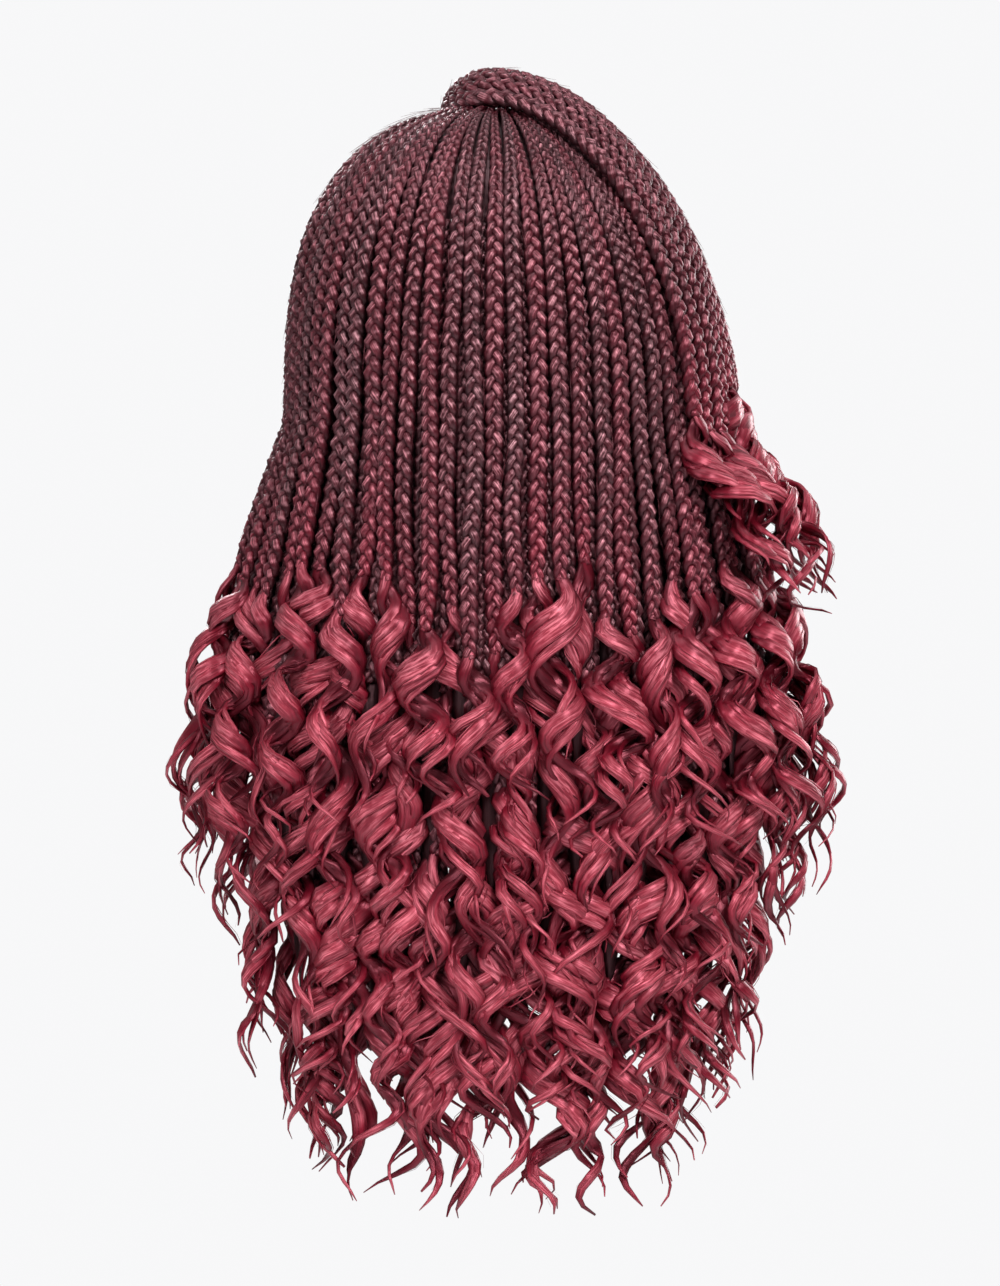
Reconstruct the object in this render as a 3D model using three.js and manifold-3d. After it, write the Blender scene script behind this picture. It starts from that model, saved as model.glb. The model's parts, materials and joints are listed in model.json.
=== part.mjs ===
// A full set of crochet box braids with curly ends, tied half up, in millimetres with +Z up.
// The hairline is at -Y. The origin is the inside of the cap's top, which carries the rest.
// Every braid is a lock: a strip with a four-cornered section, flat where it is braided and
// waved where it is curled. Locks of one layer share their stations, so that they nest.
import * as THREE from "three";
import { mergeVertices } from "three/addons/utils/BufferGeometryUtils.js";
import Module from "manifold-3d";

const wasm = await Module();
wasm.setup();

// Cap: half axes of its inside, its knitted wall, and the heights of its rim below the top
const CAP_HALF_WIDTH = 78;
const CAP_HALF_DEPTH = 97;
const CAP_HEIGHT = 105;
const CAP_WALL = 2;
const CAP_RIM_SIDE = 100;
const CAP_RIM_TILT = 50;
const CAP_COLUMNS = 26;
const CAP_ROWS = 6;
const SEAT_GAP = 0.3;

// Braids, as laid on the cap
const BRAID_WIDTH = 11;
const BRAID_THICKNESS = 6;
const ROOT_THICKNESS = 3.6;
const BRAID_GAP = 0.8;
const LAYER_GAP = 1;
const LAYER_PITCH = BRAID_THICKNESS + LAYER_GAP;

// Curls below the braided part
const CURL_PITCH = 56;
const CURL_SWING = 8;
const CURL_THICKNESS = BRAID_THICKNESS - 0.4;
const CURL_STEPS_PER_TURN = 4;
const CURL_STEP = CURL_PITCH / CURL_STEPS_PER_TURN;
const CURL_ONSET = 40;
const TIP_SHARE = 0.3;

// The fan of outer braids: where it parts on the crown, and how far it stands off the cap
const CROWN_X = 5;
const CROWN_Y = 18;
const HAIR_OVER_SIDE = 41;
const HAIR_OVER_BACK = 32;
const HAIR_OVER_TOP = 17;
const HANG_CENTRE_Y = 5;
const HANG_BELOW_CAP_MIDDLE = 50;
const FAN_ROOT_RADIUS = 30;
const FAN_BRAIDS = 36;
const FAN_HALF_ANGLE = 98;
const FAN_SQUARENESS = 2.2;
const FAN_SQUARENESS_TO_LEFT = 0.45;
const FAN_DOME_STEPS = 5;
const FAN_BRAIDED_DROP = 81;
const FAN_CURL_STEPS = 11;
const FAN_CURL_WIDTH = 15.5;
const FAN_CURL_SHARE = 1.5;
const FAN_CURL_SIDE_LOSS = 0.45;
const FAN_FLARE = 0.4;
const TIP_STAGGER = 3;
const TIP_STRIDE = 5;

// Below their widest height the layers spread: outwards and to the back
const SPREAD_HEIGHT = 155;
const SPREAD_BACK = 32;

// Rows of braids under the fan. seat is the share of the way from the rim to the cap's top,
// drop the braided length below the widest height, and layer counts inwards from the fan.
const ROW_HALF_ANGLE = 88;
const ROW_LOCK_WIDTH = 20;
const ROW_SEAT_SIDE = 0.6;
const ROW_SIDE_INSET = 7;
const ROW_HANG_BELOW_RIM = 20;
const ROW_DOME_SHARES = [0, 0.36, 0.7, 1];
const ROW_TIP_LOSS = 1;
const TRACK_WIDTH = 5;
const TRACK_THICKNESS = 3;
const TRACK_CLEARANCE = 1.05;
const TRACK_STEPS = 13;
const ROWS = [
  { name: "row_upper", locks: 8, seat: 0.62, layer: 1, drop: 151, curlSteps: 6, flare: 0.4 },
  { name: "row_middle", locks: 7, seat: 0.44, layer: 2, drop: 221, curlSteps: 6, flare: 0.31 },
  { name: "row_lower", locks: 7, seat: 0.24, layer: 3, drop: 271, curlSteps: 5, flare: 0.23 },
  { name: "row_nape", locks: 6, seat: 0.05, layer: 4, drop: 301, curlSteps: 5, flare: 0.15 },
];

// The gathered tail: its tie on the crown, and the band of braids that falls over one side
const TIE_X = 24;
const TIE_Y = -10;
const TIE_OVER_CAP = 11.8;
const TIE_WIRE = 2.3;
const TIE_SIDES = 6;
const BUNDLE_RADIUS = 11;
const BUNDLE_SIDES = 14;
const BUNDLE_OVER_TIE = 4.8;
const BUNDLE_FOOT_GAP = 0.9;
const BUNDLE_FOLDS = [0.35, 0.7];
const BUNDLE_BULGE = 4;
const TAIL_BRAIDS = 9;
const TAIL_PITCH = 8.4;
const TAIL_START_X = 6;
const TAIL_START_GAP = 0.8;
const TAIL_MIDDLE_Y = 11;
const TAIL_OVER_FAN = 21;
const TAIL_LAYER = BRAID_THICKNESS + 1.8;
const TAIL_SQUARENESS = 1.8;
const TAIL_FIRST_ANGLE = -97;
const TAIL_LAST_ANGLE = -53;
const TAIL_DOME_STEPS = 8;
const TAIL_BRAIDED_DROP = 9;
const TAIL_CURL_STEPS = 7;
const TAIL_CURL_LIFT = 16;
const TAIL_ARCH_DROP = 8.5;

// Braids from the hairline, laid back over the cap to the tie
const FRONT_BRAIDS = 13;
const FRONT_HALF_ANGLE = 76;
const FRONT_STEPS = 4;
const FRONT_RIM_INSET = 5;
const FRONT_BOW = 2.2;
const FRONT_WIDTH_SHARE = 0.7;
const FRONT_END_SHARE = 0.6;

const COLOURS = { cap: 0x2a1216, tie: 0x1d1214, braid: 0x5c2834, deep: 0x4a1f2a, tail: 0x66293a };

const CAP_CENTRE_Z = -CAP_HEIGHT;
const FAN_HALF_WIDTH = CAP_HALF_WIDTH + CAP_WALL + HAIR_OVER_SIDE;
const FAN_HALF_DEPTH = CAP_HALF_DEPTH + CAP_WALL + HAIR_OVER_BACK - HANG_CENTRE_Y;
const FAN_TOP_Z = CAP_WALL + HAIR_OVER_TOP;
const FAN_WIDEST_Z = CAP_CENTRE_Z - HANG_BELOW_CAP_MIDDLE;
const FAN_LIFT = CURL_THICKNESS + 1.6;
const TAIL_HALF_WIDTH = FAN_HALF_WIDTH + TAIL_LAYER;
const TAIL_HALF_DEPTH = FAN_HALF_DEPTH + TAIL_LAYER;
const TAIL_TOP_Z = FAN_TOP_Z + TAIL_OVER_FAN;
const TAIL_HALF_BAND = (TAIL_PITCH * (TAIL_BRAIDS - 1)) / 2;
const radians = THREE.MathUtils.degToRad;
const smooth = (share) => THREE.MathUtils.smoothstep(share, 0, 1);
const spacedOver = (count, first, last) =>
  Array.from({ length: count }, (_, i) => first + ((last - first) * i) / (count - 1));

// The cap's outer half axes, a little larger by the growth given
const capAxes = (growth = 0) =>
  new THREE.Vector3(CAP_HALF_WIDTH, CAP_HALF_DEPTH, CAP_HEIGHT).addScalar(CAP_WALL + growth);

// Height of the rim at an angle from the back
const rimZ = (angle) => -CAP_RIM_SIDE - CAP_RIM_TILT * Math.cos(angle);

// A point on the cap's outside at an angle from the back and a height
function onCapAt(angle, z, growth = 0) {
  const axes = capAxes(growth);
  const rise = THREE.MathUtils.clamp((z - CAP_CENTRE_Z) / axes.z, -1, 1);
  const reach = Math.sqrt(1 - rise * rise);
  return new THREE.Vector3(axes.x * Math.sin(angle) * reach, axes.y * Math.cos(angle) * reach, z);
}

// Height of the cap's outside over a point of the plan
function capHeight(x, y) {
  const axes = capAxes();
  return CAP_CENTRE_Z + axes.z * Math.sqrt(Math.max(0, 1 - (x / axes.x) ** 2 - (y / axes.y) ** 2));
}

// A dome with an even wall, cut at the rim
function domeGeometry(outer, inner) {
  const points = [];
  const faces = [];
  for (const axes of [outer, inner]) {
    points.push(new THREE.Vector3(0, 0, CAP_CENTRE_Z + axes.z));
    for (let row = 1; row <= CAP_ROWS; row += 1)
      for (let column = 0; column < CAP_COLUMNS; column += 1) {
        const angle = (2 * Math.PI * column) / CAP_COLUMNS;
        const rise = THREE.MathUtils.clamp((rimZ(angle) - CAP_CENTRE_Z) / axes.z, -1, 1);
        const polar = (Math.acos(rise) * row) / CAP_ROWS;
        const towards = new THREE.Vector3(
          Math.sin(angle) * Math.sin(polar),
          Math.cos(angle) * Math.sin(polar),
          Math.cos(polar),
        );
        points.push(towards.multiply(axes).setZ(CAP_CENTRE_Z + axes.z * Math.cos(polar)));
      }
  }
  const at = (shell, row, column) => {
    const first = shell * (1 + CAP_ROWS * CAP_COLUMNS);
    return row === 0 ? first : first + 1 + (row - 1) * CAP_COLUMNS + (column % CAP_COLUMNS);
  };
  for (let column = 0; column < CAP_COLUMNS; column += 1) {
    const next = column + 1;
    for (const shell of [0, 1]) {
      const shellFaces = [[at(shell, 0, 0), at(shell, 1, column), at(shell, 1, next)]];
      for (let row = 1; row < CAP_ROWS; row += 1)
        shellFaces.push(
          [at(shell, row, column), at(shell, row + 1, column), at(shell, row + 1, next)],
          [at(shell, row, column), at(shell, row + 1, next), at(shell, row, next)],
        );
      faces.push(...(shell === 0 ? shellFaces : shellFaces.map((face) => face.reverse())));
    }
    faces.push(
      [at(0, CAP_ROWS, column), at(1, CAP_ROWS, column), at(1, CAP_ROWS, next)],
      [at(0, CAP_ROWS, column), at(1, CAP_ROWS, next), at(0, CAP_ROWS, next)],
    );
  }
  return indexedGeometry(points, faces);
}

// A geometry from corner points and faces, turned so that its faces point out
function indexedGeometry(points, faces) {
  const volume = faces.reduce(
    (sum, [a, b, c]) => sum + points[a].dot(points[b].clone().cross(points[c])),
    0,
  );
  const turned = volume < 0 ? faces.map(([a, b, c]) => [a, c, b]) : faces;
  return new THREE.BufferGeometry()
    .setAttribute("position", new THREE.Float32BufferAttribute(points.flatMap((p) => p.toArray()), 3))
    .setIndex(turned.flat());
}

// A closed loft through rings of points, one ring a station
function loftGeometry(rings) {
  const sides = rings[0].length;
  const points = rings.flat();
  const faces = [];
  const at = (ring, side) => ring * sides + (side % sides);
  for (let ring = 0; ring + 1 < rings.length; ring += 1)
    for (let side = 0; side < sides; side += 1)
      faces.push(
        [at(ring, side), at(ring + 1, side), at(ring + 1, side + 1)],
        [at(ring, side), at(ring + 1, side + 1), at(ring, side + 1)],
      );
  const last = rings.length - 1;
  for (let side = 1; side + 1 < sides; side += 1)
    faces.push(
      [at(0, 0), at(0, side), at(0, side + 1)],
      [at(last, 0), at(last, side + 1), at(last, side)],
    );
  return indexedGeometry(points, faces);
}

// Solids for the joins, and back to a geometry
function solidOf(geometry) {
  const merged = mergeVertices(geometry, 1e-4);
  return new wasm.Manifold(
    new wasm.Mesh({
      numProp: 3,
      vertProperties: merged.attributes.position.array,
      triVerts: new Uint32Array(merged.index.array),
    }),
  );
}

function geometryOf(solid) {
  const mesh = solid.getMesh();
  return new THREE.BufferGeometry()
    .setAttribute("position", new THREE.Float32BufferAttribute(Float32Array.from(mesh.vertProperties), 3))
    .setIndex(Array.from(mesh.triVerts));
}

// Height at which a braid sits on the cap over a point of the plan
const capSeat = new THREE.Mesh(domeGeometry(capAxes(SEAT_GAP), capAxes()));
function seatHeight(x, y) {
  const above = new THREE.Vector3(x, y, CAP_HEIGHT);
  return new THREE.Raycaster(above, new THREE.Vector3(0, 0, -1)).intersectObject(capSeat)[0].point.z;
}
const fused = (geometries) => geometryOf(geometries.map(solidOf).reduce((sum, next) => sum.add(next)));

const still = () => 0;

// One layer of locks. centres[i][k] is the middle of lock i at station k, and the stations of
// neighbours lie beside each other. The section's width runs towards the neighbours.
function layerGeometries(centres, { steps, width, thickness, swing = still, lift = still }) {
  const spans = centres.map((path, i) =>
    path.map((centre, k) => {
      const inner = Math.max(1, Math.min(centres.length - 2, i));
      const [before, middle, after] = [-1, 0, 1].map((next) => centres[inner + next][k]);
      const bend = before.clone().add(after).addScaledVector(middle, -2);
      const across = after.clone().sub(before).addScaledVector(bend, 2 * (i - inner));
      const room = Math.min(middle.distanceTo(before), middle.distanceTo(after));
      const along = new THREE.Vector3();
      if (k > 0) along.add(centre.clone().sub(path[k - 1]).normalize());
      if (k + 1 < path.length) along.add(path[k + 1].clone().sub(centre).normalize());
      const side = across.normalize();
      const out = side.clone().cross(along).normalize();
      return { centre, side, out, room };
    }),
  );
  return spans.map((stations, i) =>
    loftGeometry(
      stations.slice(0, steps(i) + 1).map(({ centre, side, out, room }, k) => {
        const middle = centre
          .clone()
          .addScaledVector(side, swing(i, k))
          .addScaledVector(out, lift(i, k));
        const across = side.clone().multiplyScalar(width(i, k, room) / 2);
        const through = out.clone().multiplyScalar(thickness(i, k) / 2);
        return [
          middle.clone().add(across).add(through),
          middle.clone().sub(across).add(through),
          middle.clone().sub(across).sub(through),
          middle.clone().add(across).sub(through),
        ];
      }),
    ),
  );
}

// The plan of a hanging layer at an angle from the back, spread outwards lower down
function hangPoint(angle, z, halfWidth, halfDepth, flare) {
  const spread = THREE.MathUtils.clamp((FAN_WIDEST_Z - z) / SPREAD_HEIGHT, 0, 1);
  const sideways = Math.sin(angle);
  return new THREE.Vector3(
    halfWidth * sideways * (1 + flare * sideways * sideways * spread),
    HANG_CENTRE_Y + halfDepth * Math.cos(angle) + SPREAD_BACK * (1 - Math.cos(angle)) * spread,
    z,
  );
}

// Sideways swing of a curl, from its distance below the top of the curls
function curlSwing(depth) {
  const turn = (2 * Math.PI * (depth + CURL_STEP / 2)) / CURL_PITCH;
  return (CURL_SWING * smooth(depth / CURL_ONSET) * Math.sin(turn)) / Math.sin(Math.PI / 3);
}

// Heights of the stations of a curl, from the top down
const curlHeights = (top, steps, step = CURL_STEP) =>
  Array.from({ length: steps + 1 }, (_, k) => top - k * step);

// How square the fan's dome is: fuller on the side away from the tail
const fanSquareness = (angle) => FAN_SQUARENESS + FAN_SQUARENESS_TO_LEFT * Math.sin(angle);

// Outer braids: a fan from the crown over the dome, then hanging, then curled
function fanGeometries() {
  const angles = spacedOver(FAN_BRAIDS, radians(-FAN_HALF_ANGLE), radians(FAN_HALF_ANGLE));
  const centres = angles.map((angle) => {
    const rim = hangPoint(angle, FAN_WIDEST_Z, FAN_HALF_WIDTH, FAN_HALF_DEPTH, 0);
    const reach = Math.hypot(rim.x - CROWN_X, rim.y - CROWN_Y);
    const first = Math.asin(FAN_ROOT_RADIUS / reach);
    const power = fanSquareness(angle);
    const path = [];
    for (let step = 0; step <= FAN_DOME_STEPS; step += 1) {
      const share = Math.sin(first + ((Math.PI / 2 - first) * step) / FAN_DOME_STEPS);
      const height = (FAN_TOP_Z - FAN_WIDEST_Z) * Math.max(0, 1 - share ** power) ** (1 / power);
      path.push(
        new THREE.Vector3(
          CROWN_X + (rim.x - CROWN_X) * share,
          CROWN_Y + (rim.y - CROWN_Y) * share,
          FAN_WIDEST_Z + height,
        ),
      );
    }
    const root = path[0].clone();
    const inwards = new THREE.Vector2(CROWN_X - root.x, CROWN_Y - root.y).setLength(ROOT_THICKNESS / 2);
    root.z = Math.max(
      seatHeight(root.x + inwards.x, root.y + inwards.y),
      seatHeight(root.x - inwards.x, root.y - inwards.y),
    );
    path.unshift(root);
    for (const z of curlHeights(FAN_WIDEST_Z - FAN_BRAIDED_DROP, FAN_CURL_STEPS))
      path.push(hangPoint(angle, z, FAN_HALF_WIDTH, FAN_HALF_DEPTH, FAN_FLARE));
    return path;
  });
  const curlStart = FAN_DOME_STEPS + 2;
  const stepsOf = (i) => curlStart + FAN_CURL_STEPS - ((i * TIP_STRIDE) % TIP_STAGGER);
  return layerGeometries(centres, {
    steps: stepsOf,
    thickness: (i, k) => (k < 2 ? ROOT_THICKNESS : k < curlStart ? BRAID_THICKNESS : CURL_THICKNESS),
    lift: (i, k) => (i % 2 && k > curlStart ? FAN_LIFT : 0),
    swing: (i, k) => (k < curlStart ? 0 : curlSwing((k - curlStart) * CURL_STEP)),
    width: (i, k, room) => {
      if (k <= curlStart + 1) return Math.min(BRAID_WIDTH, room - BRAID_GAP);
      const share = FAN_CURL_SHARE - FAN_CURL_SIDE_LOSS * Math.sin(angles[i]) ** 4;
      const full = Math.min(FAN_CURL_WIDTH, share * room);
      return k === stepsOf(i) ? full * TIP_SHARE : full;
    },
  });
}

// A row under the fan: a track on the cap with its locks, which lift off to their own layer
function rowGeometry({ locks, seat, layer, drop, curlSteps, flare }) {
  const curlTopZ = FAN_WIDEST_Z - drop;
  const halfWidth = FAN_HALF_WIDTH - LAYER_PITCH * layer - ROW_SIDE_INSET;
  const halfDepth = FAN_HALF_DEPTH - LAYER_PITCH * layer;
  const seatZ = (angle) => {
    const share = seat * (ROW_SEAT_SIDE + (1 - ROW_SEAT_SIDE) * Math.cos(angle));
    return rimZ(angle) + share * (CAP_WALL - rimZ(angle));
  };
  const angles = spacedOver(locks, radians(-ROW_HALF_ANGLE), radians(ROW_HALF_ANGLE));
  const hangTopZ = Math.min(FAN_WIDEST_Z, rimZ(0) - ROW_HANG_BELOW_RIM);
  const centres = angles.map((angle) => {
    const root = onCapAt(angle, seatZ(angle), (TRACK_THICKNESS + TRACK_CLEARANCE) / 2);
    const low = hangPoint(angle, hangTopZ, halfWidth, halfDepth, 0);
    const path = ROW_DOME_SHARES.map((share) => {
      const out = Math.sin((share * Math.PI) / 2);
      const down = 1 - Math.cos((share * Math.PI) / 2);
      return new THREE.Vector3(
        root.x + (low.x - root.x) * out,
        root.y + (low.y - root.y) * out,
        root.z + (low.z - root.z) * down,
      );
    });
    path.push(hangPoint(angle, (hangTopZ + curlTopZ) / 2, halfWidth, halfDepth, flare));
    for (const z of curlHeights(curlTopZ, curlSteps, CURL_PITCH / 2))
      path.push(hangPoint(angle, z, halfWidth, halfDepth, flare));
    return path;
  });
  const curlStart = ROW_DOME_SHARES.length + 1;
  const shorter = (i) => Math.round(Math.abs(Math.sin(angles[i])) * ROW_TIP_LOSS);
  const stepsOf = (i) => curlStart + curlSteps - shorter(i);
  const strips = layerGeometries(centres, {
    steps: stepsOf,
    thickness: (i, k) => [TRACK_THICKNESS / 2, ROOT_THICKNESS, ROOT_THICKNESS][k] ?? CURL_THICKNESS,
    swing: (i, k) => (k <= curlStart ? 0 : CURL_SWING * (k % 2 ? 1 : -1)),
    width: (i, k, room) => {
      const full = Math.min(ROW_LOCK_WIDTH, room - BRAID_GAP);
      return k === stepsOf(i) ? full * TIP_SHARE : full;
    },
  });
  const track = spacedOver(TRACK_STEPS + 1, angles[0], angles.at(-1)).map((angle) => {
    const at = (dz, growth) => onCapAt(angle, seatZ(angle) + dz, growth);
    const half = TRACK_WIDTH / 2;
    return [
      at(half, TRACK_THICKNESS),
      at(-half, TRACK_THICKNESS),
      at(-half, TRACK_CLEARANCE),
      at(half, TRACK_CLEARANCE),
    ];
  });
  return fused([loftGeometry(track), ...strips]);
}

// Height of the tail's band over a point of the plan, with its arch across the band
function tailPoint(start, end, share) {
  const plan = start.clone().lerp(end, share);
  const away = new THREE.Vector2(plan.x - CROWN_X, plan.y - CROWN_Y);
  const angle = Math.atan2(away.x / FAN_HALF_WIDTH, away.y / FAN_HALF_DEPTH);
  const toEnd = Math.hypot(end.x - CROWN_X, end.y - CROWN_Y);
  const toRim = Math.hypot(
    TAIL_HALF_WIDTH * Math.sin(angle) - CROWN_X,
    HANG_CENTRE_Y + TAIL_HALF_DEPTH * Math.cos(angle) - CROWN_Y,
  );
  const reach = share > 0.5 ? toEnd + (toRim - toEnd) * 2 * (1 - share) : toRim;
  const out = Math.min(1, away.length() / reach);
  const across = (start.y - TAIL_MIDDLE_Y) / TAIL_HALF_BAND;
  const height = (TAIL_TOP_Z - FAN_WIDEST_Z) * (1 - out ** TAIL_SQUARENESS) ** (1 / TAIL_SQUARENESS);
  return new THREE.Vector3(
    plan.x,
    plan.y,
    FAN_WIDEST_Z + height - TAIL_ARCH_DROP * across * across * (1 - share * share),
  );
}

// Free ends of the tied braids: a band over the crown and down one side, then curls
function tailGeometries() {
  const angles = spacedOver(TAIL_BRAIDS, radians(TAIL_FIRST_ANGLE), radians(TAIL_LAST_ANGLE));
  const edges = [TAIL_MIDDLE_Y - TAIL_HALF_BAND, TAIL_MIDDLE_Y + TAIL_HALF_BAND];
  const centres = spacedOver(TAIL_BRAIDS, ...edges).map((y, i) => {
    const start = new THREE.Vector2(TAIL_START_X, y);
    const rim = hangPoint(angles[i], FAN_WIDEST_Z, TAIL_HALF_WIDTH, TAIL_HALF_DEPTH, 0);
    const end = new THREE.Vector2(rim.x, rim.y);
    const path = [];
    for (let step = 0; step <= TAIL_DOME_STEPS; step += 1) {
      const share = Math.sin((Math.PI / 2) * (step / TAIL_DOME_STEPS));
      path.push(tailPoint(start, end, share));
    }
    path[0].x -= TAIL_START_GAP;
    const curlTopZ = FAN_WIDEST_Z - TAIL_BRAIDED_DROP;
    for (const z of curlHeights(curlTopZ, TAIL_CURL_STEPS)) {
      const lift = TAIL_CURL_LIFT * smooth((curlTopZ - z) / CURL_PITCH);
      path.push(hangPoint(angles[i], z, TAIL_HALF_WIDTH + lift, TAIL_HALF_DEPTH + lift, FAN_FLARE));
    }
    return path;
  });
  const curlStart = TAIL_DOME_STEPS + 1;
  const stepsOf = (i) => curlStart + TAIL_CURL_STEPS - (i % 2);
  return layerGeometries(centres, {
    steps: stepsOf,
    thickness: (i, k) => (k < curlStart ? BRAID_THICKNESS : CURL_THICKNESS),
    swing: (i, k) => (k < curlStart ? 0 : curlSwing((k - curlStart) * CURL_STEP)),
    width: (i, k, room) => {
      const full = Math.min(BRAID_WIDTH, room - BRAID_GAP);
      return k === stepsOf(i) ? full * TIP_SHARE : full;
    },
  });
}

// The bundle: a round stub through the tie that folds over and opens into the tail's band
function bundleGeometry() {
  const columns = BUNDLE_SIDES / 2;
  const round = (height) =>
    Array.from({ length: BUNDLE_SIDES }, (_, side) => {
      const turn = (2 * Math.PI * side) / BUNDLE_SIDES;
      const x = TIE_X + BUNDLE_RADIUS * Math.cos(turn);
      const y = TIE_Y + BUNDLE_RADIUS * Math.sin(turn);
      return new THREE.Vector3(x, y, height(x, y));
    });
  const halfBand = (TAIL_PITCH * TAIL_BRAIDS) / 2;
  const middles = spacedOver(columns, TAIL_MIDDLE_Y + halfBand, TAIL_MIDDLE_Y - halfBand).map((y) => {
    const start = new THREE.Vector2(TAIL_START_X, y);
    return tailPoint(start, start, 0);
  });
  const face = (rise) => middles.map((middle) => middle.clone().setZ(middle.z + rise));
  const band = [...face(BRAID_THICKNESS / 2).reverse(), ...face(-BRAID_THICKNESS / 2)];
  const quarter = Math.floor(columns / 2);
  const opened = band.map((_, side) => band[(side + quarter) % BUNDLE_SIDES]);
  const foot = round((x, y) => seatHeight(x, y) + BUNDLE_FOOT_GAP);
  const top = round(() => capHeight(TIE_X, TIE_Y) + TIE_OVER_CAP + BUNDLE_OVER_TIE);
  const folds = BUNDLE_FOLDS.map((share) =>
    top.map((from, side) => {
      const turn = (share * Math.PI) / 2;
      const to = opened[side];
      return new THREE.Vector3(
        from.x + (to.x - from.x) * (1 - Math.cos(turn)) + BUNDLE_BULGE * Math.sin(2 * turn),
        from.y + (to.y - from.y) * share,
        from.z + (to.z - from.z) * Math.sin(turn),
      );
    }),
  );
  return loftGeometry([foot, top, ...folds, opened]);
}

// Hairline braids laid back over the cap, fused with the bundle that they run into
function frontGeometry() {
  const angles = spacedOver(
    FRONT_BRAIDS,
    Math.PI - radians(FRONT_HALF_ANGLE),
    Math.PI + radians(FRONT_HALF_ANGLE),
  );
  const thickness = (i, k) => (k === 0 || k === FRONT_STEPS ? ROOT_THICKNESS : BRAID_THICKNESS);
  const middle = new THREE.Vector3(0, 0, CAP_CENTRE_Z);
  const tie = new THREE.Vector3(TIE_X, TIE_Y, capHeight(TIE_X, TIE_Y)).sub(middle);
  const centres = angles.map((angle) => {
    const start = onCapAt(angle, rimZ(angle) + FRONT_RIM_INSET).sub(middle);
    const inset = 1 - (BUNDLE_RADIUS * FRONT_END_SHARE) / start.distanceTo(tie);
    return spacedOver(FRONT_STEPS + 1, 0, inset).map((share, k) => {
      const rise = thickness(0, k) / 2 + TRACK_CLEARANCE + FRONT_BOW;
      const towards = start.clone().lerp(tie, share).divide(capAxes()).normalize();
      return towards.multiply(capAxes(rise)).add(middle);
    });
  });
  const strips = layerGeometries(centres, {
    steps: () => FRONT_STEPS,
    thickness,
    width: (i, k, room) => Math.min(BRAID_WIDTH, room * FRONT_WIDTH_SHARE),
  });
  return fused([bundleGeometry(), ...strips]);
}

// A ring of elastic round the bundle
function tieGeometry() {
  const ring = BUNDLE_RADIUS + SEAT_GAP + TIE_WIRE;
  const profile = Array.from({ length: TIE_SIDES + 1 }, (_, corner) => {
    const turn = Math.PI + (2 * Math.PI * corner) / TIE_SIDES;
    return new THREE.Vector2(ring + TIE_WIRE * Math.cos(turn), TIE_WIRE * Math.sin(turn));
  });
  return new THREE.LatheGeometry(profile, BUNDLE_SIDES)
    .rotateX(Math.PI / 2)
    .rotateZ(Math.PI / 2)
    .translate(TIE_X, TIE_Y, capHeight(TIE_X, TIE_Y) + TIE_OVER_CAP);
}

// Meshes
const finish = (color, roughness) =>
  new THREE.MeshStandardMaterial({ color, roughness, metalness: 0 });
const named = (name, geometry, color, roughness = 0.45) => {
  const mesh = new THREE.Mesh(geometry, finish(color, roughness));
  mesh.name = name;
  return mesh;
};
const numbered = (stem, i) => `${stem}_${String(i + 1).padStart(2, "0")}`;

const braids = new THREE.Group();
braids.add(named("cap", domeGeometry(capAxes(), capAxes(-CAP_WALL)), COLOURS.cap, 0.9));
for (const row of ROWS) braids.add(named(row.name, rowGeometry(row), COLOURS.deep));
const fan = new THREE.Group();
fanGeometries().forEach((geometry, i) =>
  fan.add(named(numbered("fan", i), geometry, COLOURS.braid)),
);
const tail = new THREE.Group();
tailGeometries().forEach((geometry, i) =>
  tail.add(named(numbered("tail", i), geometry, COLOURS.tail)),
);
tail.add(named("hair_tie", tieGeometry(), COLOURS.tie, 0.6));
tail.add(named("front_row", frontGeometry(), COLOURS.tail));
braids.add(fan, tail);

export default braids;
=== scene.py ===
import json
import logging
import math
from dataclasses import dataclass, field
from enum import Enum
from typing import Callable

import bpy
import numpy as np
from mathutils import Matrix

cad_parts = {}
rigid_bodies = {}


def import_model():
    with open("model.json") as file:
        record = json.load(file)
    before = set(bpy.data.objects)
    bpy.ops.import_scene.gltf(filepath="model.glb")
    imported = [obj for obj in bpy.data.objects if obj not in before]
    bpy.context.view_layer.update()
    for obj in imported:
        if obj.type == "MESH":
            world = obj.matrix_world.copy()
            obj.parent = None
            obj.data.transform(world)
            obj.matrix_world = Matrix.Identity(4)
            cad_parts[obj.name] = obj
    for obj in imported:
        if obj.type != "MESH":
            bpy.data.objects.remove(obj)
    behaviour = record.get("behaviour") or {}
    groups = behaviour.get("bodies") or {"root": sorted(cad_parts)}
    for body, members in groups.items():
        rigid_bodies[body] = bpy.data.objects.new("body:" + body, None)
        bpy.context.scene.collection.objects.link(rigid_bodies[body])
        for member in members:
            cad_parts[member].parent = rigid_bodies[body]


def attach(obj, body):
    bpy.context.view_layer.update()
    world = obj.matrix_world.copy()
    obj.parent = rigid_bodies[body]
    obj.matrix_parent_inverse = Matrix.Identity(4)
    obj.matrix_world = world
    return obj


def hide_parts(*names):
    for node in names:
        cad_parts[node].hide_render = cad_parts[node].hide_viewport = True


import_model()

logging.basicConfig(level=logging.INFO, format="%(message)s")
LOG = logging.getLogger("braids")

MM = 0.001
FULL_TURN = 2 * math.pi
STUDIO_WHITE = "#fcfcfd"
Array = np.ndarray
Socket = bpy.types.NodeSocket


# Colours and nodes

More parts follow.
